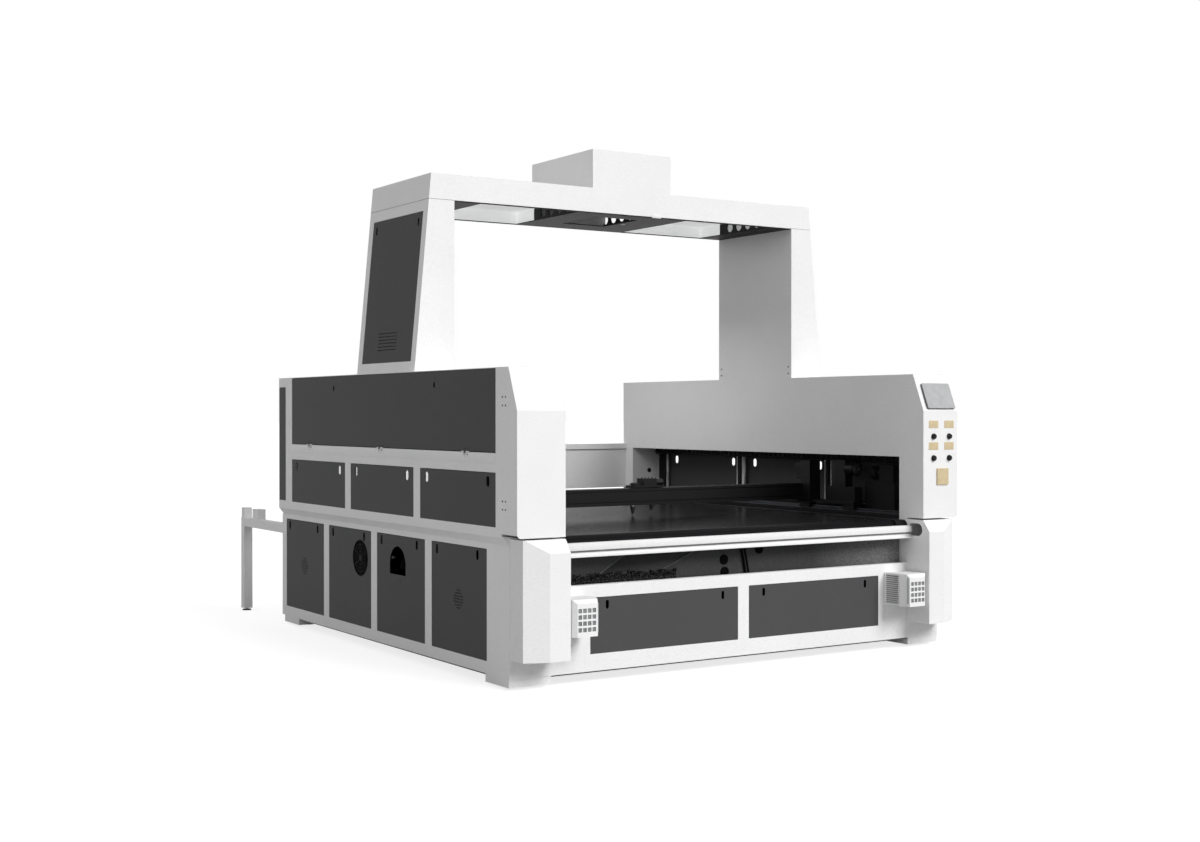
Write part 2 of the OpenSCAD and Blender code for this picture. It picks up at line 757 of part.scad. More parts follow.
module top_flap() difference() {
  union() {
    facing_side(x_out, side_win_front + panel_gap, flap_sill) pan(flap_l, flap_h)
      finger_slots(flap_l, flap_h, [flap_l / 4, flap_l / 4], 60, 16, 26);
    for (i = [0:flap_hinges_n - 1]) {
      block([x_out - 15, hinge_x], [hinge_y(i) + knuckle_len + hinge_side_gap,
        hinge_y(i) + 2 * knuckle_len - hinge_side_gap], [hinge_z + hinge_pin_r, flap_sill + panel_t / 2]);
      rod_y([hinge_x, hinge_y(i) + knuckle_len + hinge_side_gap, hinge_z], hinge_knuckle_r,
        knuckle_len - 2 * hinge_side_gap);
    }
  }
  for (i = [0:flap_hinges_n - 1])
    rod_y([hinge_x, hinge_y(i) + knuckle_len - eps, hinge_z], hinge_pin_r + hinge_clear,
      knuckle_len + 2 * eps);
}

module left_top_flap() color(charcoal) placed() on_side("left") top_flap();
module right_top_flap() color(charcoal) placed() top_flap();

// Fixed hinge halves: leaf, outer knuckles, pin and two screw heads
module flap_hinges() color(white) placed()
  for (side = ["left", "right"]) on_side(side)
    for (i = [0:flap_hinges_n - 1]) translate([0, hinge_y(i), 0]) {
      block([x_out, x_out + 2.5], [0, hinge_len], [hinge_z - 36, hinge_z - 7]);
      for (y = [0, 2 * knuckle_len]) {
        block([x_out, x_out + 2.5], [y, y + knuckle_len], [hinge_z - 8, hinge_z]);
        rod_y([hinge_x, y, hinge_z], hinge_knuckle_r, knuckle_len);
        block([x_out, hinge_x], [y, y + knuckle_len], [hinge_z - hinge_knuckle_r, hinge_z - 1]);
      }
      rod_y([hinge_x, 0, hinge_z], hinge_pin_r, hinge_len);
      for (y = [15, hinge_len - 15]) rod_x([x_out + 2, y, hinge_z - 22], 4, 2.5);
    }

module corner_panels() color(charcoal) placed()
  for (side = ["left", "right"]) on_side(side)
    facing_side(x_out, corner_win_front + panel_gap, corner_sill)
      pan(corner_win_w - 2 * panel_gap, corner_head - corner_sill - panel_gap);

module laser_tubes() color("#cfe3e0") placed()
  for (side = ["left", "right"]) on_side(side) {
    rod_y([tube_x, tube_y, tube_z], tube_r, tube_len);
    rod_y([tube_x, tube_y - 40, tube_z], 16, tube_len + 80);
  }

// ---- Front towers ----

module tower_cover() {
  outline = [[cover_back, cover_bottom], [cover_back, housing_top], [-cover_top_out, housing_top],
    [-cover_out, cover_bend], [-cover_out, cover_bottom]];
  difference() {
    along_x(x_in, x_out - x_in) polygon(outline);
    along_x(x_in + cover_t, x_out - x_in - 2 * cover_t) polygon(inset(outline, cover_t));
    // Open back
    block([x_in + cover_t, x_out - cover_t], [cover_back - 2 * cover_t, cover_back + eps],
      [cover_bottom + cover_t, housing_top - cover_t]);
    // Round outer bottom corner
    along_y(-cover_out - eps, cover_out + cover_back + 2 * eps) difference() {
      translate([x_out - cover_corner_r, cover_bottom - eps]) square([cover_corner_r + eps, cover_corner_r + eps]);
      translate([x_out - cover_corner_r, cover_bottom + cover_corner_r]) circle(cover_corner_r);
    }
  }
}

function button_x(i) = panel_x + (i % 2 == 0 ? -1 : 1) * button_pitch_x / 2;
function button_row_z(i) = button_z - (i < 2 ? 0 : 1) * button_pitch_z;

module left_tower_cover() color(white) placed() on_side("left") tower_cover();
module right_tower_cover() color(white) placed() difference() {
  tower_cover();
  for (i = [0:3]) rod_y([button_x(i), -cover_out - eps, button_row_z(i)], button_hole_r, cover_t + 2 * eps);
}

module lower_tower() {
  x_side = x_base - 3;
  plan = [[x_in, 0], [x_in, -tower_out], [x_in + tower_front_w, -tower_out],
    [x_side, -tower_side_out], [x_side, 0]];
  profile = [[0, tower_bottom], [0, tower_top], [cover_out * -1, tower_top],
    [-tower_out, tower_top - tower_bevel], [-tower_out, tower_bottom]];
  difference() {
    intersection() {
      translate([0, 0, tower_bottom]) linear_extrude(tower_top - tower_bottom) polygon(plan);
      along_x(x_in, x_side - x_in) polygon(profile);
    }
    intersection() {
      translate([0, 0, tower_bottom + cover_t])
        linear_extrude(tower_top - tower_bottom - 2 * cover_t) polygon(inset(plan, cover_t));
      along_x(x_in, x_side - x_in) polygon(inset(profile, cover_t));
    }
    // Open back
    block([x_in + cover_t, x_side - cover_t], [-2 * cover_t, eps],
      [tower_bottom + cover_t, tower_top - cover_t]);
    // Slot in the inner face
    translate([0, -tower_out / 2 + 20, tower_slot_z]) along_x(x_in - eps, cover_t + 2 * eps)
      rotate(90) stadium(tower_slot_h, tower_slot_w);
  }
}

module left_lower_tower() color(white) placed() on_side("left") lower_tower();
module right_lower_tower() color(white) placed() lower_tower();

vent_mid_x = 72;
louvre_top = 16;
louvre_cut = 5.5;

module vent_box() {
  x0 = x_in - vent_tower_gap - vent_w;
  x1 = x_in - vent_tower_gap;
  z1 = vent_bottom + vent_h;
  plan = [[x0, 0], [x0, vent_bevel_y - vent_out], [x0 + vent_bevel_x, -vent_out],
    [x1 - vent_bevel, -vent_out], [x1, vent_bevel - vent_out], [x1, 0]];
  profile = [[0, vent_bottom], [0, z1], [vent_bevel - vent_out, z1], [-vent_out, z1 - vent_bevel],
    [-vent_out, vent_bottom]];
  difference() {
    intersection() {
      translate([0, 0, vent_bottom]) linear_extrude(vent_h) polygon(plan);
      along_x(x0, vent_w) polygon(profile);
    }
    intersection() {
      translate([0, 0, vent_bottom + cover_t]) linear_extrude(vent_h - 2 * cover_t)
        polygon(inset(plan, cover_t));
      along_x(x0, vent_w) polygon(inset(profile, cover_t));
    }
    block([x0 + cover_t, x1 - cover_t], [-2 * cover_t, eps], [vent_bottom + cover_t, z1 - cover_t]);
    for (i = [-1.5:1.5], j = [-1.5:1.5])
      translate([x0 + vent_mid_x + i * vent_pitch_x - vent_hole / 2, -vent_out - eps,
        vent_bottom + (vent_h - vent_bevel) / 2 + j * vent_pitch_z - vent_hole / 2])
        cube([vent_hole, cover_t + 2 * eps, vent_hole]);
    for (i = [0:vent_louvres - 1])
      translate([x0 - eps, vent_bevel_y - vent_out + 10,
        vent_bottom + 12 + i * (vent_h - 12 - louvre_top) / (vent_louvres - 1)])
        cube([cover_t + 2 * eps, vent_out - vent_bevel_y - 22, louvre_cut]);
  }
}

module vent_boxes() color(white) placed()
  for (side = ["left", "right"]) on_side(side) vent_box();

// Nose rail across the front, with a groove along it
module front_rail() color(white) placed()
  along_x(seat - x_in, 2 * (x_in - seat)) polygon([[-rail_d, base_top - rail_h], [0, base_top - rail_h],
    [0, base_top], [4 - rail_d, base_top], [-rail_d, base_top - 4], [-rail_d, base_top - rail_band],
    [8 - rail_d, base_top - rail_band], [8 - rail_d, base_top - rail_band - rail_groove],
    [-rail_d, base_top - rail_band - rail_groove]]);

// ---- Conveyor ----

module roller(y) {
  rod_x([-belt_w / 2 - 2, y, roller_z], roller_r, belt_w + 4);
  rod_x([-bed_beam_x - shaft_reach, y, roller_z], roller_shaft_r, 2 * (bed_beam_x + shaft_reach));
}

module front_roller() color(steel) placed() roller(roller_front_y);
module rear_roller() color(steel) placed() roller(roller_rear_y);

module loop_outline(r) {
  translate([roller_front_y, roller_z - r]) square([roller_rear_y - roller_front_y, 2 * r]);
  for (y = [roller_front_y, roller_rear_y]) translate([y, roller_z]) circle(r, $fn = 96);
}

module conveyor_belt() color("#3a3a3a") placed()
  along_x(-belt_w / 2, belt_w) difference() {
    loop_outline(bend_r + belt_t);
    loop_outline(bend_r);
  }

bed_beam_top = base_top + 26;
bed_nose_r = 28;
slat_h = 34;
slat_front = roller_front_y + bend_r + 12;
slat_rear = roller_rear_y - bend_r - 12;
slat_n = floor((slat_rear - slat_front - slat_t) / slat_pitch);

// Side beams with rounded noses, and the grid of slats that carries the belt
module bed_frame() color(black) placed() {
  for (side = ["left", "right"]) on_side(side) difference() {
    along_x(bed_beam_x, bed_beam_w) {
      translate([0, belt_low]) square([base_d, bed_beam_top - bed_nose_r - belt_low]);
      translate([bed_nose_r, belt_low]) square([base_d - 2 * bed_nose_r, bed_beam_top - belt_low]);
      for (y = [bed_nose_r, base_d - bed_nose_r])
        translate([y, bed_beam_top - bed_nose_r]) circle(bed_nose_r);
    }
    for (y = [roller_front_y, roller_rear_y])
      rod_x([bed_beam_x - eps, y, roller_z], roller_shaft_r + shaft_clear, shaft_reach + 5 + eps);
  }
  for (i = [0:slat_n])
    translate([-bed_beam_x, slat_front + i * (slat_rear - slat_front - slat_t) / slat_n,
      belt_top - belt_t - slat_h]) cube([2 * bed_beam_x, slat_t, slat_h]);
  for (x = [-0.5, 0, 0.5])
    translate([x * belt_w - slat_t / 2, slat_front, belt_top - belt_t - slat_h])
      cube([slat_t, slat_rear - slat_front, slat_h / 2]);
}

// ---- Exhaust hopper under the belt ----

hopper_top = belt_low - 6;
hopper_h = 220;
hopper_low = hopper_top - hopper_h;
hopper_front = 70;
hopper_l = base_d - 2 * hopper_front;
hopper_w = 2 * x_in;
hopper_taper = [0.32, 0.5];
plenum_h = 210;

// One funnel, drawn upwards from its outlet
module funnel(w, l, h) intersection() {
  along_y(-l / 2, l) polygon([[-w * hopper_taper[0] / 2, 0], [w * hopper_taper[0] / 2, 0], [w / 2, h],
    [-w / 2, h]]);
  along_x(-w / 2, w) polygon([[-l * hopper_taper[1] / 2, 0], [l * hopper_taper[1] / 2, 0], [l / 2, h],
    [-l / 2, h]]);
}

plenum_x = x_in - 60;
plenum_front = hopper_front + 0.27 * hopper_l;
plenum_rear = base_d - plenum_front;
plenum_top = hopper_low;
outlet_x = hopper_w * hopper_taper[0] / 2 - 3 * sheet_t;
outlet_y = hopper_l * hopper_taper[1] / 2 - 3 * sheet_t;
duct_r = spigot_r - 2 - seat;

module hopper_outlet() block([-outlet_x, outlet_x], [base_d / 2 - outlet_y, base_d / 2 + outlet_y],
  [plenum_top - 2 * sheet_t, plenum_top + 2 * sheet_t]);

module exhaust_hopper() color("#8a8d90") placed() difference() {
  translate([0, base_d / 2, hopper_low]) difference() {
    funnel(hopper_w, hopper_l, hopper_h);
    translate([0, 0, sheet_t]) funnel(hopper_w - 4 * sheet_t, hopper_l - 4 * sheet_t, hopper_h);
  }
  hopper_outlet();
}

// Collecting box under the hopper, with the duct to the spigot
module exhaust_duct() color("#8a8d90") placed() difference() {
  union() {
    block([-plenum_x, plenum_x], [plenum_front, plenum_rear], [plenum_top - plenum_h, plenum_top]);
    rod_y([0, plenum_rear - eps, spigot_z], duct_r, base_d - plenum_rear);
  }
  block([sheet_t - plenum_x, plenum_x - sheet_t], [plenum_front + sheet_t, plenum_rear - sheet_t],
    [plenum_top - plenum_h + sheet_t, plenum_top - sheet_t]);
  rod_y([0, plenum_rear - 2 * sheet_t, spigot_z], duct_r - 2, base_d);
  hopper_outlet();
}

// ---- Motion system ----

// Section of a linear rail, its foot on the origin
module rail_section(w, h, gap = 0)
  polygon([[-w / 2 - gap, -gap], [w / 2 + gap, -gap], [w / 2 + gap, h / 3 + gap / 2],
    [w / 2 - h / 6 + gap, h / 2], [w / 2 + gap, 2 * h / 3 - gap / 2], [w / 2 + gap, h + gap],
    [-w / 2 - gap, h + gap], [-w / 2 - gap, 2 * h / 3 - gap / 2], [h / 6 - w / 2 - gap, h / 2],
    [-w / 2 - gap, h / 3 + gap / 2]]);

plinth_w = 60;

module rail_plinths() color(black) placed()
  for (side = ["left", "right"]) on_side(side)
    block([rail_x - plinth_w / 2, rail_x + plinth_w / 2], [bay_front, bay_rear - bed_clear],
      [base_top, base_top + plinth_h]);

module linear_rails() color(steel) placed()
  for (side = ["left", "right"]) on_side(side)
    along_y(bay_front + 10, bay_rear - bay_front - 28) translate([rail_x, base_top + plinth_h])
      rail_section(lin_rail_w, lin_rail_h);

// Drive motors at the front of the rail bays, on their brackets
motor_y = 245;
motor_l = 105;
motor_w = 62;
motor_h = 88;
motor_z = beam_top + 24;
neck_r = 22;
neck_l = 25;
pulley_r = 36;
pulley_l = 38;
bracket_t = 8;
bracket_rear = 460;
bracket_w = 54;
wall_x = x_out - frame_t;

module drive_motors() color(black) placed()
  for (side = ["left", "right"]) on_side(side) {
    difference() {
      block([wall_x - bracket_w, wall_x], [motor_y, bracket_rear], [base_top + skirt_h + bracket_t, motor_z + eps]);
      block([wall_x - bracket_w - eps, wall_x - bracket_t], [motor_y + bracket_t, bracket_rear - bracket_t],
        [base_top + skirt_h, motor_z - bracket_t]);
    }
    block([wall_x - bracket_w, wall_x - bracket_w + 3], [motor_y, bracket_rear],
      [base_top + skirt_h + bracket_t, motor_z]);
    block([wall_x - motor_w, wall_x - 2], [motor_y, motor_y + motor_l], [motor_z, motor_z + motor_h]);
    rod_y([wall_x - motor_w / 2 - 1, motor_y + motor_l - eps, motor_z + motor_h / 2], neck_r, neck_l + 2 * eps);
    rod_y([wall_x - motor_w / 2 - 1, motor_y + motor_l + neck_l, motor_z + motor_h / 2], pulley_r, pulley_l);
  }

// Beam extrusion with slots, and the rail for the head carriage on its rear face
xrail_z = beam_z + 46;
cross_rail_w = 15;
cross_rail_h = 12;
beam_wall = 8;
slot_h = 8;
slot_d = 5;

module gantry_beam() color(black) placed() {
  difference() {
    block([-beam_len / 2, beam_len / 2], [beam_y, beam_rear], [beam_z, beam_top]);
    block([-beam_len / 2 - eps, beam_len / 2 + eps], [beam_y + beam_wall, beam_rear - beam_wall],
      [beam_z + beam_wall, beam_top - beam_wall]);
    for (z = [beam_z + 2 * slot_h, beam_top - 2 * slot_h])
      block([-beam_len / 2 - eps, beam_len / 2 + eps], [beam_y - eps, beam_y + slot_d],
        [z - slot_h / 2, z + slot_h / 2]);
  }
  translate([0, beam_rear, xrail_z]) rotate([-90, 0, 0])
    along_x(18 - bed_beam_x, 2 * bed_beam_x - 36) rail_section(cross_rail_w, cross_rail_h);
}

bearing_l = 84;
bearing_lift = 4;
saddle_side = 34;
end_plate_t = 10;
servo_w = 52;
arm_top = beam_top - 8;
servo_y = drive_front + 74;
servo_l = 106;
servo_top = bay_top - 31;
drum_r = 36;
drum_l = 62;
post_top = bay_top - 38;
post_d = 66;
lug_l = 44;
lug_h = 30;

module gantry_ends() color(black) placed()
  for (side = ["left", "right"]) on_side(side) {
    // Bearing blocks on the long rail
    for (y = [drive_front + 10, beam_y - 30])
      difference() {
        block([rail_x - block_w / 2, rail_x + block_w / 2], [y, y + bearing_l],
          [base_top + plinth_h + bearing_lift, saddle_z]);
        along_y(y - eps, bearing_l + 2 * eps) translate([rail_x, base_top + plinth_h])
          rail_section(lin_rail_w, lin_rail_h, slide_gap);
      }
    // Saddle under the beam's end, the base plate in front of it and the arm on that
    block([x_in + 12, rail_x + saddle_side], [beam_y - 6, beam_rear + 6], [saddle_z, beam_z]);
    block([rail_x - saddle_side, rail_x + saddle_side], [drive_front, beam_y], [saddle_z, beam_z]);
    block([rail_x - servo_w / 2, rail_x + servo_w / 2], [drive_front, servo_y + servo_l + 35],
      [beam_z - eps, arm_top]);
    // Servo drive on the arm, its motor forwards
    block([rail_x - servo_w / 2, rail_x + servo_w / 2], [servo_y, servo_y + servo_l], [arm_top - eps, servo_top]);
    rod_y([rail_x, servo_y - drum_l, servo_top - drum_r - 8], drum_r, drum_l + eps);
    // Plate that closes the beam's end, and the post with the cross belt's motor
    block([beam_len / 2, beam_len / 2 + end_plate_t], [beam_y, beam_rear], [beam_z, beam_top]);
    block([beam_len / 2, rail_x + 20], [beam_y - post_d, beam_y + 10], [beam_z - eps, post_top]);
    for (z = [beam_top + 22, post_top - 12 - lug_h])
      block([beam_len / 2 + 6, rail_x + 14], [beam_y + 10 - eps, beam_y + 10 + lug_l], [z, z + lug_h]);
  }

// Carriage behind the beam, with two slides for the heads and a plate over the beam
slide_w = 24;
slide_d = 8;
saddle_lift = 3;
carriage_low = beam_z + 8;

module head_carriage() color(black) placed() translate([carriage_x, 0, 0]) {
  w = carriage_w / 2;
  difference() {
    block([-w, w], [beam_rear + carriage_gap, carriage_rear], [carriage_low, beam_top + saddle_lift + 10]);
    translate([0, beam_rear, xrail_z]) rotate([-90, 0, 0])
      along_x(-w - eps, carriage_w + 2 * eps) rail_section(cross_rail_w, cross_rail_h, slide_gap);
    for (s = [-1, 1])
      translate([nozzle_mid + s * nozzle_pitch / 2, 0, 0])
        block([-slide_w / 2, slide_w / 2], [carriage_rear - slide_d, carriage_rear + eps],
          [carriage_low - eps, beam_top + 40]);
  }
  // Plate over the beam with its blocks
  block([-w, w], [beam_y + 6, beam_rear + carriage_gap + eps], [beam_top + saddle_lift, beam_top + saddle_lift + 10]);
  block([-w, 30 - w], [beam_y + 6, beam_y + 40], [beam_top + saddle_lift + 9, beam_top + 27]);
  block([58 - w, w - 46], [beam_y + 8, beam_rear + 14], [beam_top + saddle_lift + 9, beam_top + 48]);
  block([30 - w - eps, 58 - w + eps], [beam_y + 20, beam_y + 26], [beam_top + 22, beam_top + 27]);
  rod_x([w - 46 - eps, beam_y + 30, beam_top + saddle_lift + 9 + 15], 17, 46);
}

module laser_head(s, up) color(steel) placed()
  translate([carriage_x + nozzle_mid + s * nozzle_pitch / 2, head_y, up]) {
  // Slide that runs in the carriage's groove
  block([seat - slide_w / 2, slide_w / 2 - seat], [carriage_rear - slide_d + seat - head_y, 0],
    [beam_z + 20, beam_top + 4]);
  difference() {
    union() {
      translate([0, 0, nozzle_tip + 44]) cylinder(r = head_r, h = 112);
      translate([0, 0, nozzle_tip + 14]) cylinder(r1 = 6, r2 = head_r, h = 30);
      translate([0, 0, nozzle_tip]) cylinder(r1 = 2.5, r2 = 6, h = 14);
      translate([0, 0, nozzle_tip + 60]) cylinder(r = head_r + 1.5, h = 8);
      translate([0, 0, nozzle_tip + 120]) cylinder(r = head_r + 1.5, h = 12);
    }
    translate([0, 0, nozzle_tip - eps]) cylinder(r = 1.2, h = 30);
  }
}

module laser_head_left() laser_head(-1, 0);
module laser_head_right() laser_head(1, head_up);

// ---- Camera arch ----

module arch_leg() {
  outline = [[x_in, housing_top], [leg_foot_x, housing_top], [leg_top_x, arch_under], [x_in, arch_under]];
  difference() {
    along_y(arch_y, arch_d) polygon(outline);
    along_y(arch_y + sheet_t, arch_d - 2 * sheet_t) polygon(inset(outline, sheet_t));
    on_leg_face() block([-frame_t, eps], [leg_win_y, arch_d - leg_win_y],
      [leg_win_low, leg_win_low + leg_win_h]);
  }
}

// Local frame of a leg's leaning outer face: x outwards, z up the slope
module on_leg_face() translate([leg_foot_x, arch_y, housing_top]) rotate([0, -lean_angle, 0]) children();

module arch_leg_left() color(white) placed() on_side("left") arch_leg();
module arch_leg_right() color(white) placed() arch_leg();

leg_panel_w = arch_d - 2 * leg_win_y - 2 * panel_gap;
leg_panel_h = leg_win_h - panel_gap;
leg_louvres = 6;
louvre_l = 200;
louvre_h = 4;
louvre_pitch = 16;

module leg_panels() color(charcoal) placed()
  for (side = ["left", "right"]) on_side(side) on_leg_face()
    facing_side(0, leg_win_y + panel_gap, leg_win_low) pan(leg_panel_w, leg_panel_h) {
      finger_slots(leg_panel_w, leg_panel_h, [40, 40], 45, 16, 38);
      for (i = [0:leg_louvres - 1]) translate([(leg_panel_w - louvre_l) / 2, 60 + louvre_pitch * i, -panel_fold])
        cube([louvre_l, louvre_h, panel_fold + eps]);
    }

plate_edge = 8;
light_edge = 18;
tray_side = 6;

// Window in the dark plate under the camera, between these ends
cam_win_x = [-150, 105];
cam_win_y = [arch_y + 128, arch_y + 449];

module arch_beam() color(white) placed() {
  outline = [[-leg_top_x, arch_under], [leg_top_x, arch_under], [beam_side_x, arch_top],
    [-beam_side_x, arch_top]];
  difference() {
    along_y(arch_y, arch_d) polygon(outline);
    along_y(arch_y + sheet_t, arch_d - 2 * sheet_t) polygon(inset(outline, sheet_t));
    block([cam_win_x[0] - 15, cam_win_x[1] + 115], [cam_win_y[0] - 30, cam_win_y[1] + 15],
      [arch_under - eps, arch_under + sheet_t + eps]);
    for (side = ["left", "right"]) on_side(side)
      block([cam_plate_x - tray_side - 2, light_end_x + tray_side + 2],
        [arch_y + light_edge - tray_side - 2, arch_y + arch_d - light_edge + tray_side + 2],
        [arch_under - eps, arch_under + sheet_t + eps]);
  }
}

plate_t = 4;
fin_t = 3;
fin_back = 0.5;
fin_drop = 3;
fin_share = 0.69;
fin_hole_r = 24;
fin_pitch = 78;
fin_first = 92;
lens_r = 17;
lens_at = [151, arch_y + 330];

// An upright plate on the dark plate, with a row of round holes
module fin(x, y, l) difference() {
  block([x, x + fin_t], [y, y + l], [arch_under - eps, arch_under + light_rise - fin_drop]);
  for (i = [0:3]) rod_x([x - eps, y + fin_first + i * fin_pitch, arch_under + (light_rise - 1) / 2],
    fin_hole_r, fin_t + 2 * eps);
}

module underside_panel() color("#2e2e2e") placed() {
  difference() {
    block([stand_off - x_in, x_in - stand_off], [arch_y + plate_edge, arch_y + arch_d - plate_edge],
      [arch_under - plate_t, arch_under]);
    for (side = ["left", "right"]) on_side(side)
      block([cam_plate_x, light_end_x], [arch_y + light_edge, arch_y + arch_d - light_edge],
        [arch_under - plate_t - eps, arch_under + eps]);
    block(cam_win_x, cam_win_y, [arch_under - plate_t - eps, arch_under + eps]);
    translate([lens_at[0], lens_at[1], arch_under - plate_t - eps]) cylinder(r = lens_r, h = plate_t + 2 * eps);
  }
  for (side = ["left", "right"], x = [cam_plate_x - fin_back - fin_t, light_end_x + fin_back])
    on_side(side)
      fin(x, arch_y + light_edge + 4, fin_share * (arch_d - 2 * light_edge));
  fin(cam_win_x[1] + fin_back, cam_win_y[0] - 20, cam_win_y[1] - cam_win_y[0] + 30);
}

// Pale trays above the openings, with the lamps' flat diffuser as their roof
module light_panels() color(diffuser) placed()
  for (side = ["left", "right"]) on_side(side) difference() {
    block([cam_plate_x - tray_side, light_end_x + tray_side],
      [arch_y + light_edge - tray_side, arch_y + arch_d - light_edge + tray_side],
      [arch_under + seat, arch_under + light_rise + sheet_t]);
    block([cam_plate_x - fin_back - fin_t - seat, light_end_x + fin_back + fin_t + seat],
      [arch_y + light_edge, arch_y + arch_d - light_edge],
      [arch_under - eps, arch_under + light_rise]);
  }

// Camera body beside the window, its lens in the dark plate
module vision_camera() color(steel) placed() {
  translate([lens_at[0], lens_at[1], arch_under - plate_t + 1]) cylinder(r = lens_r - seat, h = plate_t + 5);
  block([lens_at[0] - 39, lens_at[0] + 39], [arch_y + 218, arch_y + 408], [arch_under + seat, arch_under + 70]);
}

module camera_box() color(white) placed() translate([cam_box_x, 0, 0]) difference() {
  block([-cam_box_w / 2, cam_box_w / 2], [arch_y, arch_y + cam_box_d], [arch_top, arch_top + cam_box_h]);
  block([sheet_t - cam_box_w / 2, cam_box_w / 2 - sheet_t], [arch_y + sheet_t, arch_y + cam_box_d - sheet_t],
    [arch_top - eps, arch_top + cam_box_h - sheet_t]);
}

// ---- Operator panel ----

// Local frame of the right cover's sloped face: -y outwards, z up the slope
module on_slope() translate([panel_x, -cover_out, cover_bend]) rotate([-bend_angle, 0, 0]) children();

module hmi_screen() color(pale_grey) placed() on_slope() difference() {
  along_y(-screen_t, screen_t) translate([0, screen_low + screen_h / 2]) round_rect(screen_w, screen_h, 8);
  along_y(-screen_t - eps, 1 + eps) translate([0, screen_low + screen_h / 2])
    square([screen_w - 24, screen_h - 24], center = true);
}

legend_w = 62;
legend_h = 36;
legend_t = 1.5;
legend_lift = 59;
big_legend_w = 74;
big_legend_h = 79;
big_legend_t = 7;
big_legend_off = 6;
big_legend_drop = 90;

module legend_plates() color(beige) placed() {
  for (i = [0:3])
    translate([button_x(i) - legend_w / 2, -cover_out - legend_t, button_row_z(i) + legend_lift - legend_h / 2])
      cube([legend_w, legend_t, legend_h]);
  translate([panel_x + big_legend_off - big_legend_w / 2, -cover_out - big_legend_t,
    button_row_z(2) - big_legend_drop - big_legend_h / 2]) cube([big_legend_w, big_legend_t, big_legend_h]);
}

module button_bezels() color(black) placed()
  for (i = [0:3]) translate([button_x(i), -cover_out, button_row_z(i)]) rotate([90, 0, 0])
    difference() {
      union() {
        cylinder(r = bezel_r, h = bezel_t);
        translate([0, 0, -22]) cylinder(r = button_hole_r - 0.1, h = 23);
      }
      translate([0, 0, 1]) cylinder(r = cap_r + seat, h = bezel_t);
      translate([0, 0, -22 - eps]) cylinder(r = button_stem_r, h = 30);
    }

module button(i) color(black) placed() translate([button_x(i), -cover_out, button_row_z(i)])
  rotate([90, 0, 0]) {
    translate([0, 0, cap_rest]) cylinder(r = cap_r, h = 6);
    translate([0, 0, cap_rest + 6]) cylinder(r1 = cap_r, r2 = cap_r - 1.5, h = 1.5);
    translate([0, 0, -20]) cylinder(r = button_stem_r - shaft_clear, h = 20 + cap_rest);
  }

module button_1() button(0);
module button_2() button(1);
module button_3() button(2);
module button_4() button(3);

// ---- Rear stands ----

stand_top = base_top - stand_drop;

module rear_stands() color(white) placed()
  for (side = ["left", "right"]) on_side(side) {
    x0 = x_base - stand_tube;
    y_leg = base_d + stand_reach;
    block([x0, x_base], [y_leg, y_leg + stand_tube], [14, stand_top]);
    block([x0, x_base], [base_d, y_leg], [stand_top - stand_tube, stand_top]);
    for (y = [y_leg - cradle_gap - cradle_block, y_leg + 2])
      block([x0 + 2, x_base - 2], [y, y + (y > y_leg ? stand_tube - 4 : cradle_block)],
        [stand_top, stand_top + cradle_h]);
    translate([x0 + stand_tube / 2, y_leg + stand_tube / 2, 0]) {
      cylinder(r = 18, h = 5);
      cylinder(r = 6, h = 15);
    }
  }

base_frame();
levelling_feet();
left_lower_panel_1();
left_lower_panel_2();
left_lower_panel_3();
left_lower_panel_4();
right_lower_panel_1();
right_lower_panel_2();
right_lower_panel_3();
right_lower_panel_4();
front_panels();
rear_panel();
rear_cover();
left_housing();
right_housing();
left_mid_panels();
right_mid_panels();
left_top_flap();
right_top_flap();
flap_hinges();
corner_panels();
left_tower_cover();
right_tower_cover();
left_lower_tower();
right_lower_tower();
vent_boxes();
front_rail();
front_roller();
rear_roller();
conveyor_belt();
bed_frame();
exhaust_hopper();
exhaust_duct();
rail_plinths();
linear_rails();
drive_motors();
gantry_beam();
gantry_ends();
head_carriage();
laser_head_left();
laser_head_right();
arch_leg_left();
arch_leg_right();
arch_beam();
leg_panels();
camera_box();
vision_camera();
underside_panel();
light_panels();
hmi_screen();
legend_plates();
button_bezels();
button_1();
button_2();
button_3();
button_4();
rear_stands();
laser_tubes();
fan_frame();
fan_rotor();
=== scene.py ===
"""Looks of the fabric laser cutting machine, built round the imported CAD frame. Metres, +Z up."""

import json
import math
import random

import bmesh
import bpy
from mathutils import Matrix, Vector


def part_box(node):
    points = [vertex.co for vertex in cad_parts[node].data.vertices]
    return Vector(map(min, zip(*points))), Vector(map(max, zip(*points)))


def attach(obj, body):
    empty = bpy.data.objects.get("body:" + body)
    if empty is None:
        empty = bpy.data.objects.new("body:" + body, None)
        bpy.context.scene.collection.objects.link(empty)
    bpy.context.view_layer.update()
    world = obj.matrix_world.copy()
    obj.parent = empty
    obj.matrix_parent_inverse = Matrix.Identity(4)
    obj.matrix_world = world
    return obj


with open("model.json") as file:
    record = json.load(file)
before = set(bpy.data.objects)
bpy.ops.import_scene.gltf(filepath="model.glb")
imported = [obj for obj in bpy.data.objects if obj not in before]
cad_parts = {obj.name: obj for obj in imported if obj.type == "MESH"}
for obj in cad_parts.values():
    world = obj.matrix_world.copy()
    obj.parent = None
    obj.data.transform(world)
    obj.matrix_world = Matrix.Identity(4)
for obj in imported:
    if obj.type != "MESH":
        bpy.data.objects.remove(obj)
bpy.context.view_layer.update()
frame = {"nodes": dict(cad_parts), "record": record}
nodes = frame["nodes"]
MM = 0.001


# ---------------------------------------------------------------- node helpers

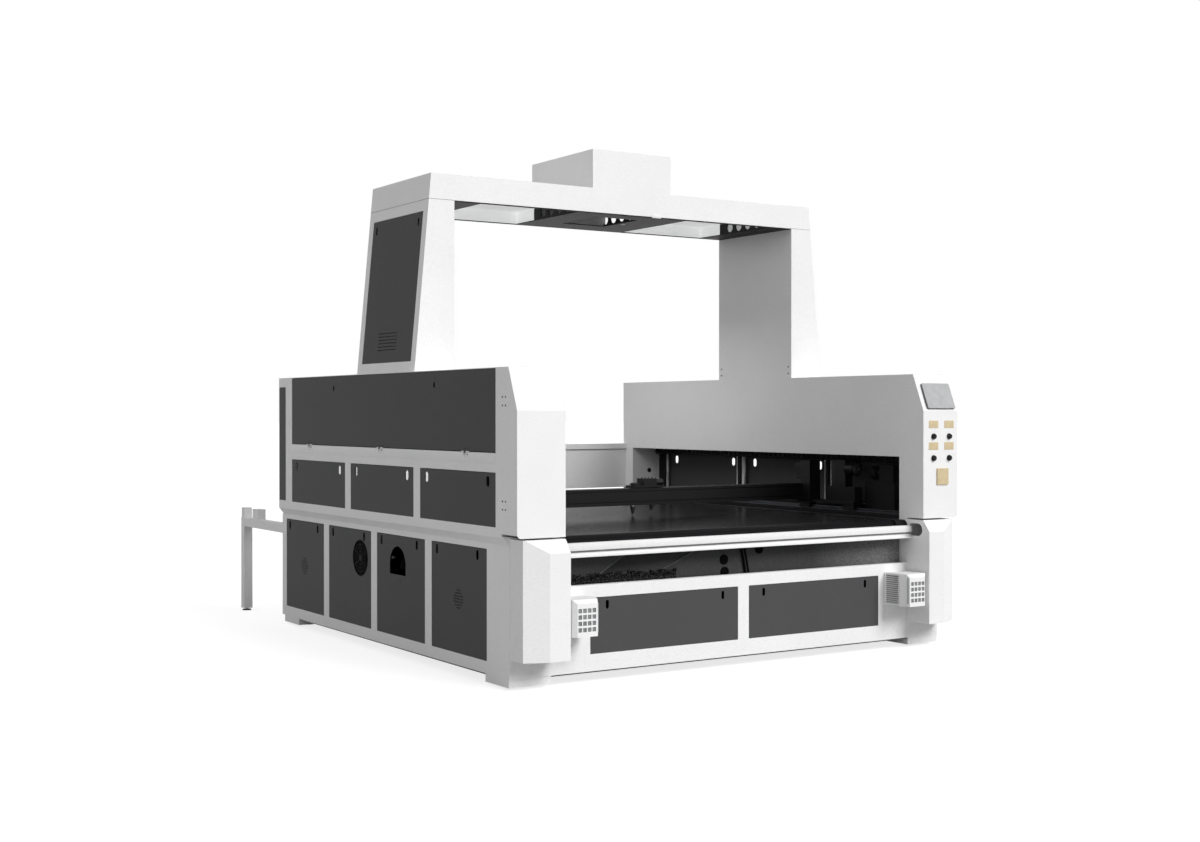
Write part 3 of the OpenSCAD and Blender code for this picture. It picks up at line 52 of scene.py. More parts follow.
class Shader:
    """A material whose Principled shader is fed by short chains of nodes."""

    def __init__(self, name, **sockets):
        self.mat = bpy.data.materials.new(name)
        self.mat.use_nodes = True
        self.tree = self.mat.node_tree
        self.bsdf = self.tree.nodes["Principled BSDF"]
        for key, value in sockets.items():
            self.bsdf.inputs[key.replace("_", " ")].default_value = value

    def add(self, kind, **settings):
        node = self.tree.nodes.new(kind)
        for key, value in settings.items():
            setattr(node, key, value)
        return node

    def link(self, a, b):
        self.tree.links.new(a, b)

    def coords(self, scale=(1, 1, 1)):
        """Object coordinates, which are the machine's own metres, scaled."""
        place = self.add("ShaderNodeTexCoord")
        mapping = self.add("ShaderNodeMapping")
        mapping.inputs["Scale"].default_value = scale
        self.link(place.outputs["Object"], mapping.inputs["Vector"])
        return mapping.outputs["Vector"]

    def noise(self, scale, detail=3.0, rough=0.55, vector=None):
        node = self.add("ShaderNodeTexNoise")
        node.inputs["Scale"].default_value = scale
        node.inputs["Detail"].default_value = detail
        node.inputs["Roughness"].default_value = rough
        self.link(vector or self.coords(), node.inputs["Vector"])
        return node.outputs["Fac"]

    def spread(self, value, low, high, start=0.3, end=0.7):
        """Maps value from start..end to low..high."""
        node = self.add("ShaderNodeMapRange")
        for key, number in zip(("From Min", "From Max", "To Min", "To Max"), (start, end, low, high)):
            node.inputs[key].default_value = number
        self.link(value, node.inputs["Value"])
        return node.outputs["Result"]

    def math(self, kind, a, b):
        node = self.add("ShaderNodeMath", operation=kind)
        for socket, value in zip(node.inputs, (a, b)):
            if isinstance(value, (int, float)):
                socket.default_value = value
            else:
                self.link(value, socket)
        return node.outputs[0]

    def mix(self, factor, a, b, kind="MIX"):
        node = self.add("ShaderNodeMix", data_type="RGBA", blend_type=kind)
        for key, value in zip(("Factor", "A", "B"), (factor, a, b)):
            socket = node.inputs[key]
            if isinstance(value, (int, float)):
                socket.default_value = value
            elif isinstance(value, tuple):
                socket.default_value = value if len(value) == 4 else (*value, 1)
            else:
                self.link(value, socket)
        return node.outputs["Result"]

    def height(self):
        """Height above the floor in metres."""
        split = self.add("ShaderNodeSeparateXYZ")
        self.link(self.coords(), split.inputs["Vector"])
        return split.outputs["Z"]

    def bump(self, value, distance):
        node = self.add("ShaderNodeBump")
        node.inputs["Distance"].default_value = distance
        node.inputs["Strength"].default_value = 1.0
        self.link(value, node.inputs["Height"])
        self.link(node.outputs["Normal"], self.bsdf.inputs["Normal"])

    def colour(self, value):
        self.link(value, self.bsdf.inputs["Base Color"])

    def roughness(self, value):
        self.link(value, self.bsdf.inputs["Roughness"])


def srgb(text):
    """A linear colour from a screen colour such as 'f2f2f2'."""
    def linear(c):
        return c / 12.92 if c <= 0.04045 else ((c + 0.055) / 1.055) ** 2.4
    return tuple(linear(int(text[i:i + 2], 16) / 255) for i in (0, 2, 4)) + (1.0,)


def shade(colour, factor):
    return tuple(c * factor for c in colour[:3]) + (1.0,)


# ---------------------------------------------------------------- materials

def powder_coat(name, colour, peel=0.00006, rough=(0.38, 0.5), grime=0.12, gloss=0.45):
    """Sprayed and baked coat: orange peel, faint cloudiness, and dust that gathers near the floor."""
    m = Shader(name, Specular_IOR_Level=gloss)
    clouds = m.noise(2.5, 4)
    tone = m.mix(m.spread(clouds, 0, 1), shade(colour, 0.98), shade(colour, 1.02))
    speckle = m.spread(m.noise(170, 2, 0.7), 0.955, 1.045)
    tone = m.mix(1.0, tone, speckle, "MULTIPLY")
    scuffs = m.spread(m.noise(38, 6, 0.7), 0, 1, 0.56, 0.74)
    low = m.spread(m.height(), 1, 0, 0.05, 0.5)
    dust = m.math("MULTIPLY", m.math("MULTIPLY", low, scuffs), grime)
    m.colour(m.mix(dust, tone, srgb("6f6a62")))
    m.roughness(m.spread(m.noise(120, 2), *rough))
    m.bump(m.noise(650, 2, 0.5), peel)
    return m.mat


def sheet_with_dust_and_painted_light(name):
    """Dark sheet with specks of dust; painted light lightens it, specks and all, towards the machine's
    right end.
    """
    m = Shader(name, Specular_IOR_Level=0.1)
    split = m.add("ShaderNodeSeparateXYZ")
    m.link(m.coords(), split.inputs["Vector"])
    # Painted light: the sheet grows lighter from the middle to the machine's right end.
    painted_light_to_right = m.spread(split.outputs["X"], 0.06, 0.6, 0.45, 1.05)
    specks = m.spread(m.noise(150, 3, 0.8), 0.2, 1.6)
    m.colour(m.mix(m.math("MULTIPLY", painted_light_to_right, specks), srgb("303031"), srgb("9a9a9a")))
    m.roughness(m.spread(m.noise(90, 3), 0.5, 0.7))
    m.bump(m.noise(300, 2), 0.0001)
    return m.mat


def tufted(name):
    """Black bristles with specks of dust caught between them."""
    m = Shader(name, Specular_IOR_Level=0.02)
    specks = m.spread(m.noise(190, 2, 0.8), 0, 1, 0.5, 0.7)
    m.colour(m.mix(specks, srgb("0a0a0b"), srgb("5a5a5b")))
    m.roughness(m.spread(m.noise(90, 3), 0.6, 0.8))
    m.bump(m.noise(300, 2), 0.0002)
    return m.mat


def brushed_metal(name, colour, along, rough=0.3, metallic=1.0):
    """Ground or turned metal with fine marks across the given stretch."""
    m = Shader(name, Metallic=metallic)
    marks = m.noise(1, 3, 0.6, m.coords(scale=along))
    m.colour(m.mix(m.spread(marks, 0, 1), shade(colour, 0.86), shade(colour, 1.08)))
    m.roughness(m.spread(marks, rough - 0.08, rough + 0.1))
    m.bump(marks, 0.00002)
    return m.mat


def anodised(name, colour):
    """Dark anodised extrusion, with its grain along the machine's width."""
    m = Shader(name, Specular_IOR_Level=0.15)
    grain = m.noise(1, 3, 0.6, m.coords(scale=(40, 900, 900)))
    m.colour(m.mix(m.spread(grain, 0, 1), shade(colour, 0.85), shade(colour, 1.25)))
    m.roughness(m.spread(grain, 0.34, 0.46))
    m.bump(grain, 0.00001)
    return m.mat


def moulded(name, colour, rough=0.35, texture=900, depth=0.00003, gloss=0.5):
    """Plastic, rubber or paint in one colour, with a fine grain."""
    m = Shader(name, Specular_IOR_Level=gloss)
    grain = m.noise(texture, 2)
    m.colour(m.mix(m.spread(m.noise(30, 3), 0, 1), shade(colour, 0.92), shade(colour, 1.06)))
    m.roughness(m.spread(grain, rough - 0.05, rough + 0.08))
    m.bump(grain, depth)
    return m.mat


def woven_belt(name):
    """Steel mesh belt: two crossed wave patterns with patches of smoke, almost without gloss."""
    m = Shader(name, Specular_IOR_Level=0.015)
    place = m.coords()
    waves = []
    for axis in ("X", "Y"):
        wave = m.add("ShaderNodeTexWave", wave_type="BANDS", bands_direction=axis)
        wave.inputs["Scale"].default_value = 40
        m.link(place, wave.inputs["Vector"])
        waves.append(wave.outputs["Fac"])
    weave = m.math("MULTIPLY", *waves)
    dark, light = srgb("141415"), srgb("262628")
    tone = m.mix(m.spread(weave, 0, 1, 0.0, 0.9), dark, light)
    stain = m.spread(m.noise(3.2, 5, 0.6), 0, 0.4, 0.35, 0.75)
    m.colour(m.mix(stain, tone, srgb("121212")))
    m.roughness(m.spread(m.noise(60, 3), 0.19, 0.28))
    m.bump(weave, 0.00008)
    return m.mat


fin_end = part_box("underside_panel")[0].y + 0.432     # rear ends of the fins at the light trays
blend = 0.002                                        # metres over which a tray's wall turns from painted shade to lit


def opal(name, glow, walls=0.0):
    """Lit acrylic of the light trays, and of the glowing bar of painted light in the camera hood. Painted
    shade: the trays' end walls are painted near black where the fins hide them, and the right tray's wall
    is painted half lit.
    """
    m = Shader(name, Roughness=0.5, Emission_Strength=glow)
    soft = m.spread(m.noise(14, 2), 0, 1)
    split = m.add("ShaderNodeSeparateXYZ")
    m.link(m.add("ShaderNodeNewGeometry").outputs["Normal"], split.inputs["Vector"])
    # Painted shade: upright end walls take the lit level walls (0 for the trays), except behind the fins'
    # rear ends, where they stay lit.
    upright = m.spread(m.math("ABSOLUTE", split.outputs["X"], 0), 1, walls, 0.4, 0.6)
    where = m.add("ShaderNodeSeparateXYZ")
    m.link(m.coords(), where.inputs["Vector"])
    behind_fins = m.spread(where.outputs["Y"], 0, 1, fin_end - blend, fin_end + blend)
    lit = m.math("MAXIMUM", upright, behind_fins)
    # Painted light: beyond 0.6 m to the right every wall is painted half lit.
    lit = m.math("MAXIMUM", lit, m.spread(where.outputs["X"], 0, 0.5, 0.6, 0.61))
    ribs = m.spread(m.noise(1, 2, 0.5, m.coords(scale=(90, 2, 2))), 0.9, 1.0)
    tone = m.mix(soft, srgb("dfe1e1"), srgb("eceeee"))
    # Painted shade: where lit is low the colour is near black and the glow is off.
    m.colour(m.mix(lit, srgb("0e0e0f"), m.mix(1.0, tone, ribs, "MULTIPLY")))
    m.link(m.mix(lit, (0, 0, 0), (1, 1, 1)), m.bsdf.inputs["Emission Color"])
    m.bump(m.noise(500, 1), 0.00002)
    return m.mat


def tube_glass(name):
    """Thick glass of the laser tubes, with a faint green cast."""
    m = Shader(name, IOR=1.5, Transmission_Weight=0.75)
    m.colour(m.mix(m.spread(m.noise(6, 2), 0, 1), srgb("cfe4df"), srgb("e6f2ef")))
    m.roughness(m.spread(m.noise(40, 2), 0.05, 0.12))
    return m.mat


LOOKS = {
    "white_coat": powder_coat("white_coat", srgb("eeeeee"), rough=(0.46, 0.58), gloss=0.1),
    "charcoal_coat": powder_coat("charcoal_coat", srgb("4f4f50"), rough=(0.42, 0.55), gloss=0.04),
    "black_coat": powder_coat("black_coat", srgb("1b1b1c"), rough=(0.5, 0.62), gloss=0.12),
    "black_aluminium": anodised("black_aluminium", srgb("161617")),
    "rail_steel": brushed_metal("rail_steel", srgb("5a5c60"), along=(900, 12, 900)),
    "roller_steel": brushed_metal("roller_steel", srgb("9c9ea2"), along=(900, 60, 60)),
    "head_metal": brushed_metal("head_metal", srgb("a4a7ab"), along=(60, 60, 1400)),
    "foot_steel": moulded("foot_steel", srgb("2b2b2c"), rough=0.45),
    "mesh_belt": woven_belt("mesh_belt"),
    "galvanised": brushed_metal("galvanised", srgb("5d6064"), along=(18, 18, 18), rough=0.42, metallic=0.6),
    "camera_body": moulded("camera_body", srgb("c8c8c8"), rough=0.4),
    "diffuser": opal("diffuser", glow=0.30),
    "screen": moulded("screen", srgb("5a5b5c"), rough=0.3, texture=1500, depth=0.00001),
    "legend": moulded("legend", srgb("cfbd98"), rough=0.42, gloss=0.3),
    "bezel": moulded("bezel", srgb("161617"), rough=0.28),
    "button_cap": moulded("button_cap", srgb("101011"), rough=0.3, gloss=0.2),
    "tube_glass": tube_glass("tube_glass"),
    "fan_plastic": moulded("fan_plastic", srgb("0d0d0e"), rough=0.5, gloss=0.04),
    # Grey for the leg joints, and for the painted shadow in the front rail's recess.
    "joint": moulded("joint", srgb("8c8c8c"), rough=0.6, gloss=0.2),
    "wire": moulded("wire", srgb("202021"), rough=0.5, gloss=0.06),
    "dark_sheet": sheet_with_dust_and_painted_light("dark_sheet"),
    "brush": tufted("brush"),
    "hood": moulded("hood", srgb("9e9e9f"), rough=0.6, gloss=0.1),
    # Lighter grey strips that paint the highlight on the scrap sheets' folds.
    "painted_edge_highlight": moulded("painted_edge_highlight", srgb("5c5d5e"), rough=0.55, gloss=0.1),
    # Near black: the hose and fittings, and painted shade in the panel liners and the camera's vent slots.
    "near_black_and_painted_shade": moulded("near_black_and_painted_shade", srgb("0b0b0c"), rough=0.6, texture=300, depth=0.0002, gloss=0.01),
    "filter": moulded("filter", srgb("a2a4a5"), rough=0.7, texture=240, depth=0.0004),
    "screen_face": moulded("screen_face", srgb("adaeaf"), rough=0.3, texture=1500, depth=0.00001,
                           gloss=0.3),
    # Painted light: glows all over, for the bar that lights the camera inside its hood.
    "lamp": opal("lamp", glow=0.9, walls=1.0),
}

for part in frame["record"]["subparts"]:
    mesh = nodes[part["node"]].data
    mesh.materials.clear()
    mesh.materials.append(LOOKS[part["material_slot"]])


# ---------------------------------------------------------------- shapes

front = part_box("base_frame")[0].y


def at(x, back, up):
    """A point given in millimetres across, behind the base's front face, and above the floor."""
    return Vector((x * MM, front + back * MM, up * MM))


def facing(normal):
    """A turn that takes +Z to the normal and +Y as near as it can to straight up."""
    z = Vector(normal).normalized()
    x = Vector((0, 0, 1)).cross(z)
    if x.length < 1e-6:
        x = Vector((1, 0, 0)).cross(z)
    x.normalize()
    return Matrix((x, z.cross(x), z)).transposed().to_4x4()


class Piece:
    """A mesh piece put together from bevelled, turned and swept shapes, in millimetres."""

    def __init__(self):
        self.bm = bmesh.new()

    def box(self, x, back, up, bevel=1.0):
        """A block with rounded edges between two corners."""
        low, high = at(x[0], back[0], up[0]), at(x[1], back[1], up[1])
        place = Matrix.LocRotScale((low + high) / 2, None, high - low)
        made = bmesh.ops.create_cube(self.bm, size=1, matrix=place)
        edges = list({e for v in made["verts"] for e in v.link_edges})
        bmesh.ops.bevel(self.bm, geom=edges, offset=bevel * MM, segments=2, profile=0.5,
                        affect="EDGES", clamp_overlap=True)

    def lathe(self, base, normal, profile, steps=20):
        """A turned shape on a point: (radius, height) pairs along the normal."""
        place = Matrix.Translation(base) @ facing(normal)
        rings = []
        for radius, height in profile:
            if radius == 0:
                rings.append([self.bm.verts.new(place @ Vector((0, 0, height * MM)))])
                continue
            ring = []
            for k in range(steps):
                a = 2 * math.pi * k / steps
                point = Vector((radius * MM * math.cos(a), radius * MM * math.sin(a), height * MM))
                ring.append(self.bm.verts.new(place @ point))
            rings.append(ring)
        for lower, upper in zip(rings, rings[1:]):
            for k in range(steps):
                corners = [lower[k % len(lower)], lower[(k + 1) % len(lower)],
                           upper[(k + 1) % len(upper)], upper[k % len(upper)]]
                corners = [c for i, c in enumerate(corners) if c not in corners[:i]]
                if len(corners) > 2:
                    self.bm.faces.new(corners)
        for ring in (rings[0], rings[-1]):
            if len(ring) > 2:
                self.bm.faces.new(ring)

    def tube(self, points, radius, steps=12):
        """A round bar, wire or hose along the points."""
        across = None
        rings = []
        for i, point in enumerate(points):
            along = (points[min(i + 1, len(points) - 1)] - points[max(i - 1, 0)]).normalized()
            across = across or along.orthogonal()
            across = (across - along * across.dot(along)).normalized()
            third = along.cross(across)
            ring = []
            for k in range(steps):
                a = 2 * math.pi * k / steps
                spoke = radius * MM * (across * math.cos(a) + third * math.sin(a))
                ring.append(self.bm.verts.new(point + spoke))
            rings.append(ring)
        for lower, upper in zip(rings, rings[1:]):
            for k in range(steps):
                self.bm.faces.new((lower[k], lower[(k + 1) % steps], upper[(k + 1) % steps], upper[k]))
        self.bm.faces.new(rings[0])
        self.bm.faces.new(rings[-1])

    def slab(self, outline, place, depth):
        """A flat outline of (x, y) pairs, given depth downwards from its placed plane."""
        top = [self.bm.verts.new(place @ Vector((x * MM, y * MM, 0))) for x, y in outline]
        low = [self.bm.verts.new(place @ Vector((x * MM, y * MM, -depth * MM))) for x, y in outline]
        self.bm.faces.new(top)
        self.bm.faces.new(low[::-1])
        for i in range(len(outline)):
            j = (i + 1) % len(outline)
            self.bm.faces.new((low[i], low[j], top[j], top[i]))

    def plate(self, corners, depth):
        """A flat plate between points, given depth behind its face."""
        normal = (corners[1] - corners[0]).cross(corners[-1] - corners[0]).normalized() * (depth * MM)
        top = [self.bm.verts.new(c) for c in corners]
        low = [self.bm.verts.new(c - normal) for c in corners]
        self.bm.faces.new(top)
        self.bm.faces.new(low[::-1])
        for i in range(len(corners)):
            j = (i + 1) % len(corners)
            self.bm.faces.new((low[i], low[j], top[j], top[i]))

    def screw(self, base, normal, radius):
        """A button-head screw with its socket."""
        head = [(radius, -0.4), (radius, 0.5), (radius * 0.86, 1.6), (radius * 0.5, 2.2),
                (radius * 0.44, 2.1), (radius * 0.42, 0.6), (0, 0.5)]
        self.lathe(base, normal, head, 16)

    def bolt(self, base, normal, radius):
        """A hexagon bolt head on a washer."""
        washer = [(radius * 1.5, -0.4), (radius * 1.5, 1.2), (radius * 1.4, 1.6), (0, 1.6)]
        head = [(radius, 1.4), (radius, 6), (radius * 0.88, 6.8), (0, 6.8)]
        self.lathe(base, normal, washer, 24)
        self.lathe(base, normal, head, 6)

    def done(self, name, slot, body="frame", look=None):
        """Puts the piece into the scene, on its body, with the look of its slot or one of its own."""
        bmesh.ops.recalc_face_normals(self.bm, faces=self.bm.faces)
        mesh = bpy.data.meshes.new(name)
        self.bm.to_mesh(mesh)
        self.bm.free()
        mesh.materials.append(look or LOOKS[slot])
        for face in mesh.polygons:
            face.use_smooth = True
        mesh.set_sharp_from_angle(angle=math.radians(32))
        piece = bpy.data.objects.new(name, mesh)
        bpy.context.scene.collection.objects.link(piece)
        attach(piece, body)


def rounded(width, height, radius, steps=5):
    """Outline of a rectangle with round corners, centred."""
    points = []
    for k, (sx, sy) in enumerate(((1, -1), (1, 1), (-1, 1), (-1, -1))):
        for j in range(steps + 1):
            a = math.pi / 2 * (k - 1 + j / steps)
            points.append((sx * (width / 2 - radius) + radius * math.cos(a),
                           sy * (height / 2 - radius) + radius * math.sin(a)))
    return points


# ---------------------------------------------------------------- fasteners and fittings

HALF = 1250                  # half width over the housings
HALF_BASE = 1224             # half width of the base
INNER = 1019                 # inner faces of the housings
WALL = 1219.5                # just inside the housings' outer walls
TOP = 1341                   # top of the housings
BAY = (60, 2400)             # ends of the rail bays
PANELS = (72, 2320)          # ends of the flaps and of the rows of mid panels
MID_PITCH = 773.33           # from one mid panel to the next
MID_WINDOWS = [(70 + MID_PITCH * i, 775.33 + MID_PITCH * i) for i in range(3)]
LOWER_PITCH = 584.8          # from one lower panel to the next
HINGES = (328, 1196, 2064)   # middles of the flap hinges, behind the base's front
ARCH = (882, 1524)           # front and rear of the camera arch
ARCH_UNDER = 2145            # underside of its beam
LEG_FOOT = 1226              # outer faces of its legs at their feet
STAND_END = 3180             # rear ends of the stands
SIDES = (("left", -1), ("right", 1))


def strip(s, near, far):
    """A range across, between two distances from the middle, on one side."""
    return (near, far) if s > 0 else (-far, -near)


def side_fasteners():
    """Screws of the tower covers, the hinges and the flaps."""
    leaf = 2.5               # how far a hinge's fixed half stands out
    for side, s in SIDES:
        out = (s, 0, 0)
        fixed, moving = Piece(), Piece()
        for back in (-14, 11):
            for up in (752, 786, 1182, 1217):
                fixed.screw(at(s * HALF, back, up), out, radius=4)
        for back in HINGES:
            for shift in (-15, 15):
                fixed.screw(at(s * (HALF + leaf), back + shift, 973), out, radius=2.8)
                moving.screw(at(s * HALF, back + shift, 999), out, radius=3.6)
        fixed.done(side + "_housing_screws", "foot_steel")
        moving.done(side + "_flap_screws", "foot_steel", side + "_flap")


def hinge_ledges():
    """The folded ledge along each housing under its flap."""
    for side, s in SIDES:
        piece = Piece()
        piece.box(strip(s, HALF - 0.5, HALF + 1.2), PANELS, (941, 983), bevel=0.5)
        piece.done(side + "_hinge_ledge", "white_coat")


def bay_parts_and_painted_shade():
    """Trunking, mats and a grommet in each rail bay, the bed's metal edge, and painted shade: black boxes
    over the windows' sills and posts.
    """
    finger, pitch, count = 26, 41, 57            # the trunking's fingers
    sill, posts = (638, 673), (674, 904)
    for side, s in SIDES:
        trunk, mat, edge, grommet = Piece(), Piece(), Piece(), Piece()
        trunk.box(strip(s, 1188, WALL), BAY, (898, 934), bevel=2)
        for k in range(count):
            start = 70 + pitch * k
            trunk.box(strip(s, 1184, 1189), (start, start + finger), (908, 931))
        # Painted shade: black boxes on the inner faces of the windows' sills and posts darken them.
        for start, end in ((BAY[0], 236), (470, BAY[1])):
            trunk.box(strip(s, 1216, WALL), (start, end), sill)
        for k in (0, 1):
            middle = (MID_WINDOWS[k][1] + MID_WINDOWS[k + 1][0]) / 2
            trunk.box(strip(s, 1210, WALL), (middle - 15, middle + 15), posts, bevel=2)
        trunk.box(strip(s, 1214, WALL), (2326, BAY[1]), posts)
        trunk.done(side + "_bay_trunking_and_shade_boxes", "bezel", look=LOOKS["black_coat"])
        for near, far in ((1020.5, 1087.5), (1148.5, 1219)):
            mat.box(strip(s, near, far), (BAY[0] + 2, BAY[1]), (600.2, 602.5), bevel=0.8)
        mat.done(side + "_bay_mats", "fan_plastic", look=LOOKS["black_coat"])
        edge.box(strip(s, 996, 1001), (4, 2440), (625.5, 627.6), bevel=0.6)
        edge.done(side + "_bed_edge", "rail_steel")
        grommet.lathe(at(s * 1143, BAY[1] + 7, 795), (0, -1, 0),
                      [(14, -0.5), (14, 2), (12.5, 3.2), (9, 3.4), (8, 2.2), (8, 0.3), (0, 0.2)], 24)
        grommet.done(side + "_bay_grommet", "bezel")


def base_painted_shade_strip():
    """Black strip along the lower edges of the base, between its corner pads: painted shade for the dark
    band under the base's edge.
    """
    height = (42.5, 48)
    shade_strip = Piece()
    for s in (-1, 1):
        shade_strip.box(strip(s, HALF_BASE - 5, HALF_BASE + 0.6), (210, 2285), height)
    for back in ((-0.6, 5), (2522, 2527.6)):
        shade_strip.box((-1022, 1022), back, height)
    shade_strip.done("base_painted_shade_strip", "bezel")


def front_rail_lips():
    """The two folded lips of the front rail, and a grey strip between them: painted shadow under the upper
    lip.
    """
    lips = Piece()
    front_face = (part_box("front_rail")[0].y - front) / MM
    for low, high in ((540, 548), (569, 600)):
        lips.box((-1017, 1017), (front_face - 12, front_face + 1), (low, high), bevel=1.2)
    lips.done("front_rail_lips", "white_coat")
    # Painted shadow: a grey strip in the recess stands for the upper lip's shadow.
    shadow_strip = Piece()
    shadow_strip.box((-1016, 1016), (front_face - 1.6, front_face + 1), (560, 569.5), bevel=0.5)
    shadow_strip.done("front_rail_painted_shadow", "bezel", look=LOOKS["joint"])


def nozzle_cups():
    """The tapered air cups round the two cutting nozzles, which rise with their heads."""
    profile = [(3.2, 2), (4.6, 3.2), (12, 30), (13.5, 34), (13.5, 58), (12.4, 60), (0, 60)]
    for side in ("left", "right"):
        low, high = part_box("laser_head_" + side)
        middle = Vector(((low.x + high.x) / 2, (low.y + high.y) / 2, low.z))
        cup = Piece()
        cup.lathe(middle, (0, 0, 1), profile, 32)
        cup.done(side + "_nozzle_cup", "head_metal", "head_" + side)


def painted_shade_liners():
    """Painted shade: near-black sheets behind the panels, which darken what is seen through their slots,
    vents and gaps.

    At the left duct and fan they stand deeper, and more sheets close the space round them.
    """
    close, deep, mouth = 1194, 1040, 1192        # distances from the middle
    low, high, sheet = 70, 572, 3
    reach = {"left": (close, deep, deep, close), "right": (close,) * 4}
    for side, s in SIDES:
        shade_sheets = Piece()
        for k, x in enumerate(reach[side]):
            near, far = 166 + LOWER_PITCH * k, 740 + LOWER_PITCH * k
            shade_sheets.box(strip(s, x - sheet, x), (near, far), (low, high))
            if x == deep:
                space = strip(s, x, mouth)
                shade_sheets.box(space, (near, far), (low, low + sheet))
                shade_sheets.box(space, (near, far), (high - sheet, high))
                shade_sheets.box(space, (near, near + sheet), (low + sheet, high - sheet))
                shade_sheets.box(space, (far - sheet, far), (low + sheet, high - sheet))
        shade_sheets.done(side + "_painted_shade_sheets", "galvanised", look=LOOKS["near_black_and_painted_shade"])
    # Painted shade: near-black sheets across the base's front and rear ends.
    ends = Piece()
    for near, top in ((34, 399), (2484, 530)):
        ends.box((-1010, 1010), (near, near + sheet), (low, top))
    ends.done("end_painted_shade_sheets", "galvanised", look=LOOKS["near_black_and_painted_shade"])


def arch_details():
    """Joint between each leg and the beam, and the pressed backs of the leg panels' louvres."""
    side_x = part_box("arch_beam")[1].x / MM
    slope = (LEG_FOOT - side_x) / (ARCH_UNDER - TOP)
    skin, inset = 9, 110         # the backs' depth in a leg, and their distance from its edges
    low, high = TOP + 90, TOP + 240
    near = LEG_FOOT - skin - (low - TOP) * slope
    far = LEG_FOOT - skin - (high - TOP) * slope
    for side, s in SIDES:
        joint = Piece()
        joint.tube([at(s * (INNER + 1), ARCH[0], ARCH_UNDER), at(s * side_x, ARCH[0], ARCH_UNDER),
                    at(s * side_x, ARCH[1], ARCH_UNDER), at(s * (INNER + 1), ARCH[1], ARCH_UNDER)], 1.1, 8)
        joint.done(side + "_arch_joint", "galvanised", look=LOOKS["joint"])
        back = Piece()
        corners = [at(s * near, ARCH[0] + inset, low), at(s * near, ARCH[1] - inset, low),
                   at(s * far, ARCH[1] - inset, high), at(s * far, ARCH[0] + inset, high)]
        back.plate(corners if s < 0 else corners[::-1], 1.5)
        back.done(side + "_louvre_back", "charcoal_coat")


def scrap_chute():
    """Dark sheets, brush and fittings seen through the opening under the front rail, with painted
    highlights along the sheets' folds.
    """
    low, high, reach = 405, 538, 1014            # the opening's height and half width
    left_foot, left_head, right_foot, right_head = -830, -612, -545, -222
    sheet = Piece()
    place = Matrix.Translation(at(0, 52, 0)) @ facing((0, -1, 0))
    sheet.slab([(-reach, low), (left_foot, low), (left_head, high), (-reach, high)], place, 1.5)
    sheet.slab([(right_foot, low), (reach, low), (reach, high), (right_head, high)], place, 1.5)
    corners = [at(left_foot - 6, 96, low), at(right_foot + 2, 56, low), at(right_head + 2, 56, high),
               at(left_head - 6, 96, high)]
    sheet.plate(corners, 1.5)
    sheet.done("scrap_sheets", "galvanised", look=LOOKS["dark_sheet"])
    # Painted highlight: lighter strips along the folds between the flat and the tilted sheets.
    edge, edge_back = Piece(), 49.5
    for foot, head in ((left_foot, left_head), (right_foot, right_head)):
        edge.plate([at(foot - 3, edge_back, low), at(foot + 4, edge_back, low),
                    at(head + 4, edge_back, high), at(head - 3, edge_back, high)], 1.2)
    edge.done("scrap_edge_highlights", "galvanised", look=LOOKS["painted_edge_highlight"])
    brush, brush_start, brush_end = Piece(), -1010, -352
    draw = random.Random(7)
    x, tuft = brush_start + 4, 455
    while x < brush_end:
        if draw.random() < 0.12:
            tuft = draw.uniform(446, 462)
        lean, back, tall = draw.uniform(-6, 6), draw.uniform(36, 46), tuft + draw.uniform(-4, 4)
        root, bend, tip = at(x, back, 426), at(x + lean * 0.4, back - 1, 441), at(x + lean, back - 3, tall)
        brush.tube([root, bend, tip], 2.6, 6)
        x += draw.uniform(0.8, 2.4)
    # The holder comes after its tufts: a bevel before them lists their faces in another order each run.
    brush.box((brush_start, brush_end), (34, 48), (417, 430), bevel=2)
    brush.done("scrap_brush", "bezel", look=LOOKS["brush"])
    fit = Piece()
    for x, up in ((-74, 483), (130, 522), (-70, 428)):
        fit.lathe(at(x, 50, up), (0, -1, 0), [(22, -2), (22, 4), (19, 6), (15, 6.2), (13, 4), (0, 4)], 32)
    for shift, back in ((0, 46), (14, 40)):
        fit.tube([at(48 + shift, back, 412), at(34 + shift, back, 478), at(20 + shift, back, 536)], 5, 10)
    fit.done("scrap_fittings", "bezel", look=LOOKS["near_black_and_painted_shade"])


def duct_hose():
    """Ribbed hose with its collar and clip behind the arched opening, and the opening's two screws."""
    low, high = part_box("left_lower_panel_2")
    middle = (low.y + high.y) / 2 + 0.028
    radius, rib = 19, 21.5
    hose = Piece()
    path = [Vector((-1.125 + 0.06 * math.cos(a), middle + 0.012, 0.40 + 0.085 * math.sin(a)))
            for a in (math.pi * (0.05 + 0.9 * k / 26) for k in range(27))]
    hose.tube(path, radius, 16)
    for a, b in zip(path[::2], path[1::2]):
        hose.lathe((a + b) / 2, b - a, [(radius, -1.8), (rib, -1.2), (rib, 1.2), (radius, 1.8)], 20)
    hose.lathe(Vector((-1.15, middle - 0.03, 0.425)), (-1, 0, 0.2),
               [(40, -6), (40, 0), (37, 4), (30, 5), (27, 3), (27, -3), (0, -4)], 36)
    hose.done("duct_hose", "bezel", look=LOOKS["near_black_and_painted_shade"])
    clip = Piece()
    clip.box((-1204.5, -1182), (1160, 1176), (455, 470), bevel=1.5)
    clip.done("duct_clip", "head_metal")
    screws = Piece()
    for shift in (-0.02, 0.02):
        screws.screw(Vector((low.x, middle + shift, 0.362)), (-1, 0, 0), radius=4)
    screws.done("duct_screws", "foot_steel")


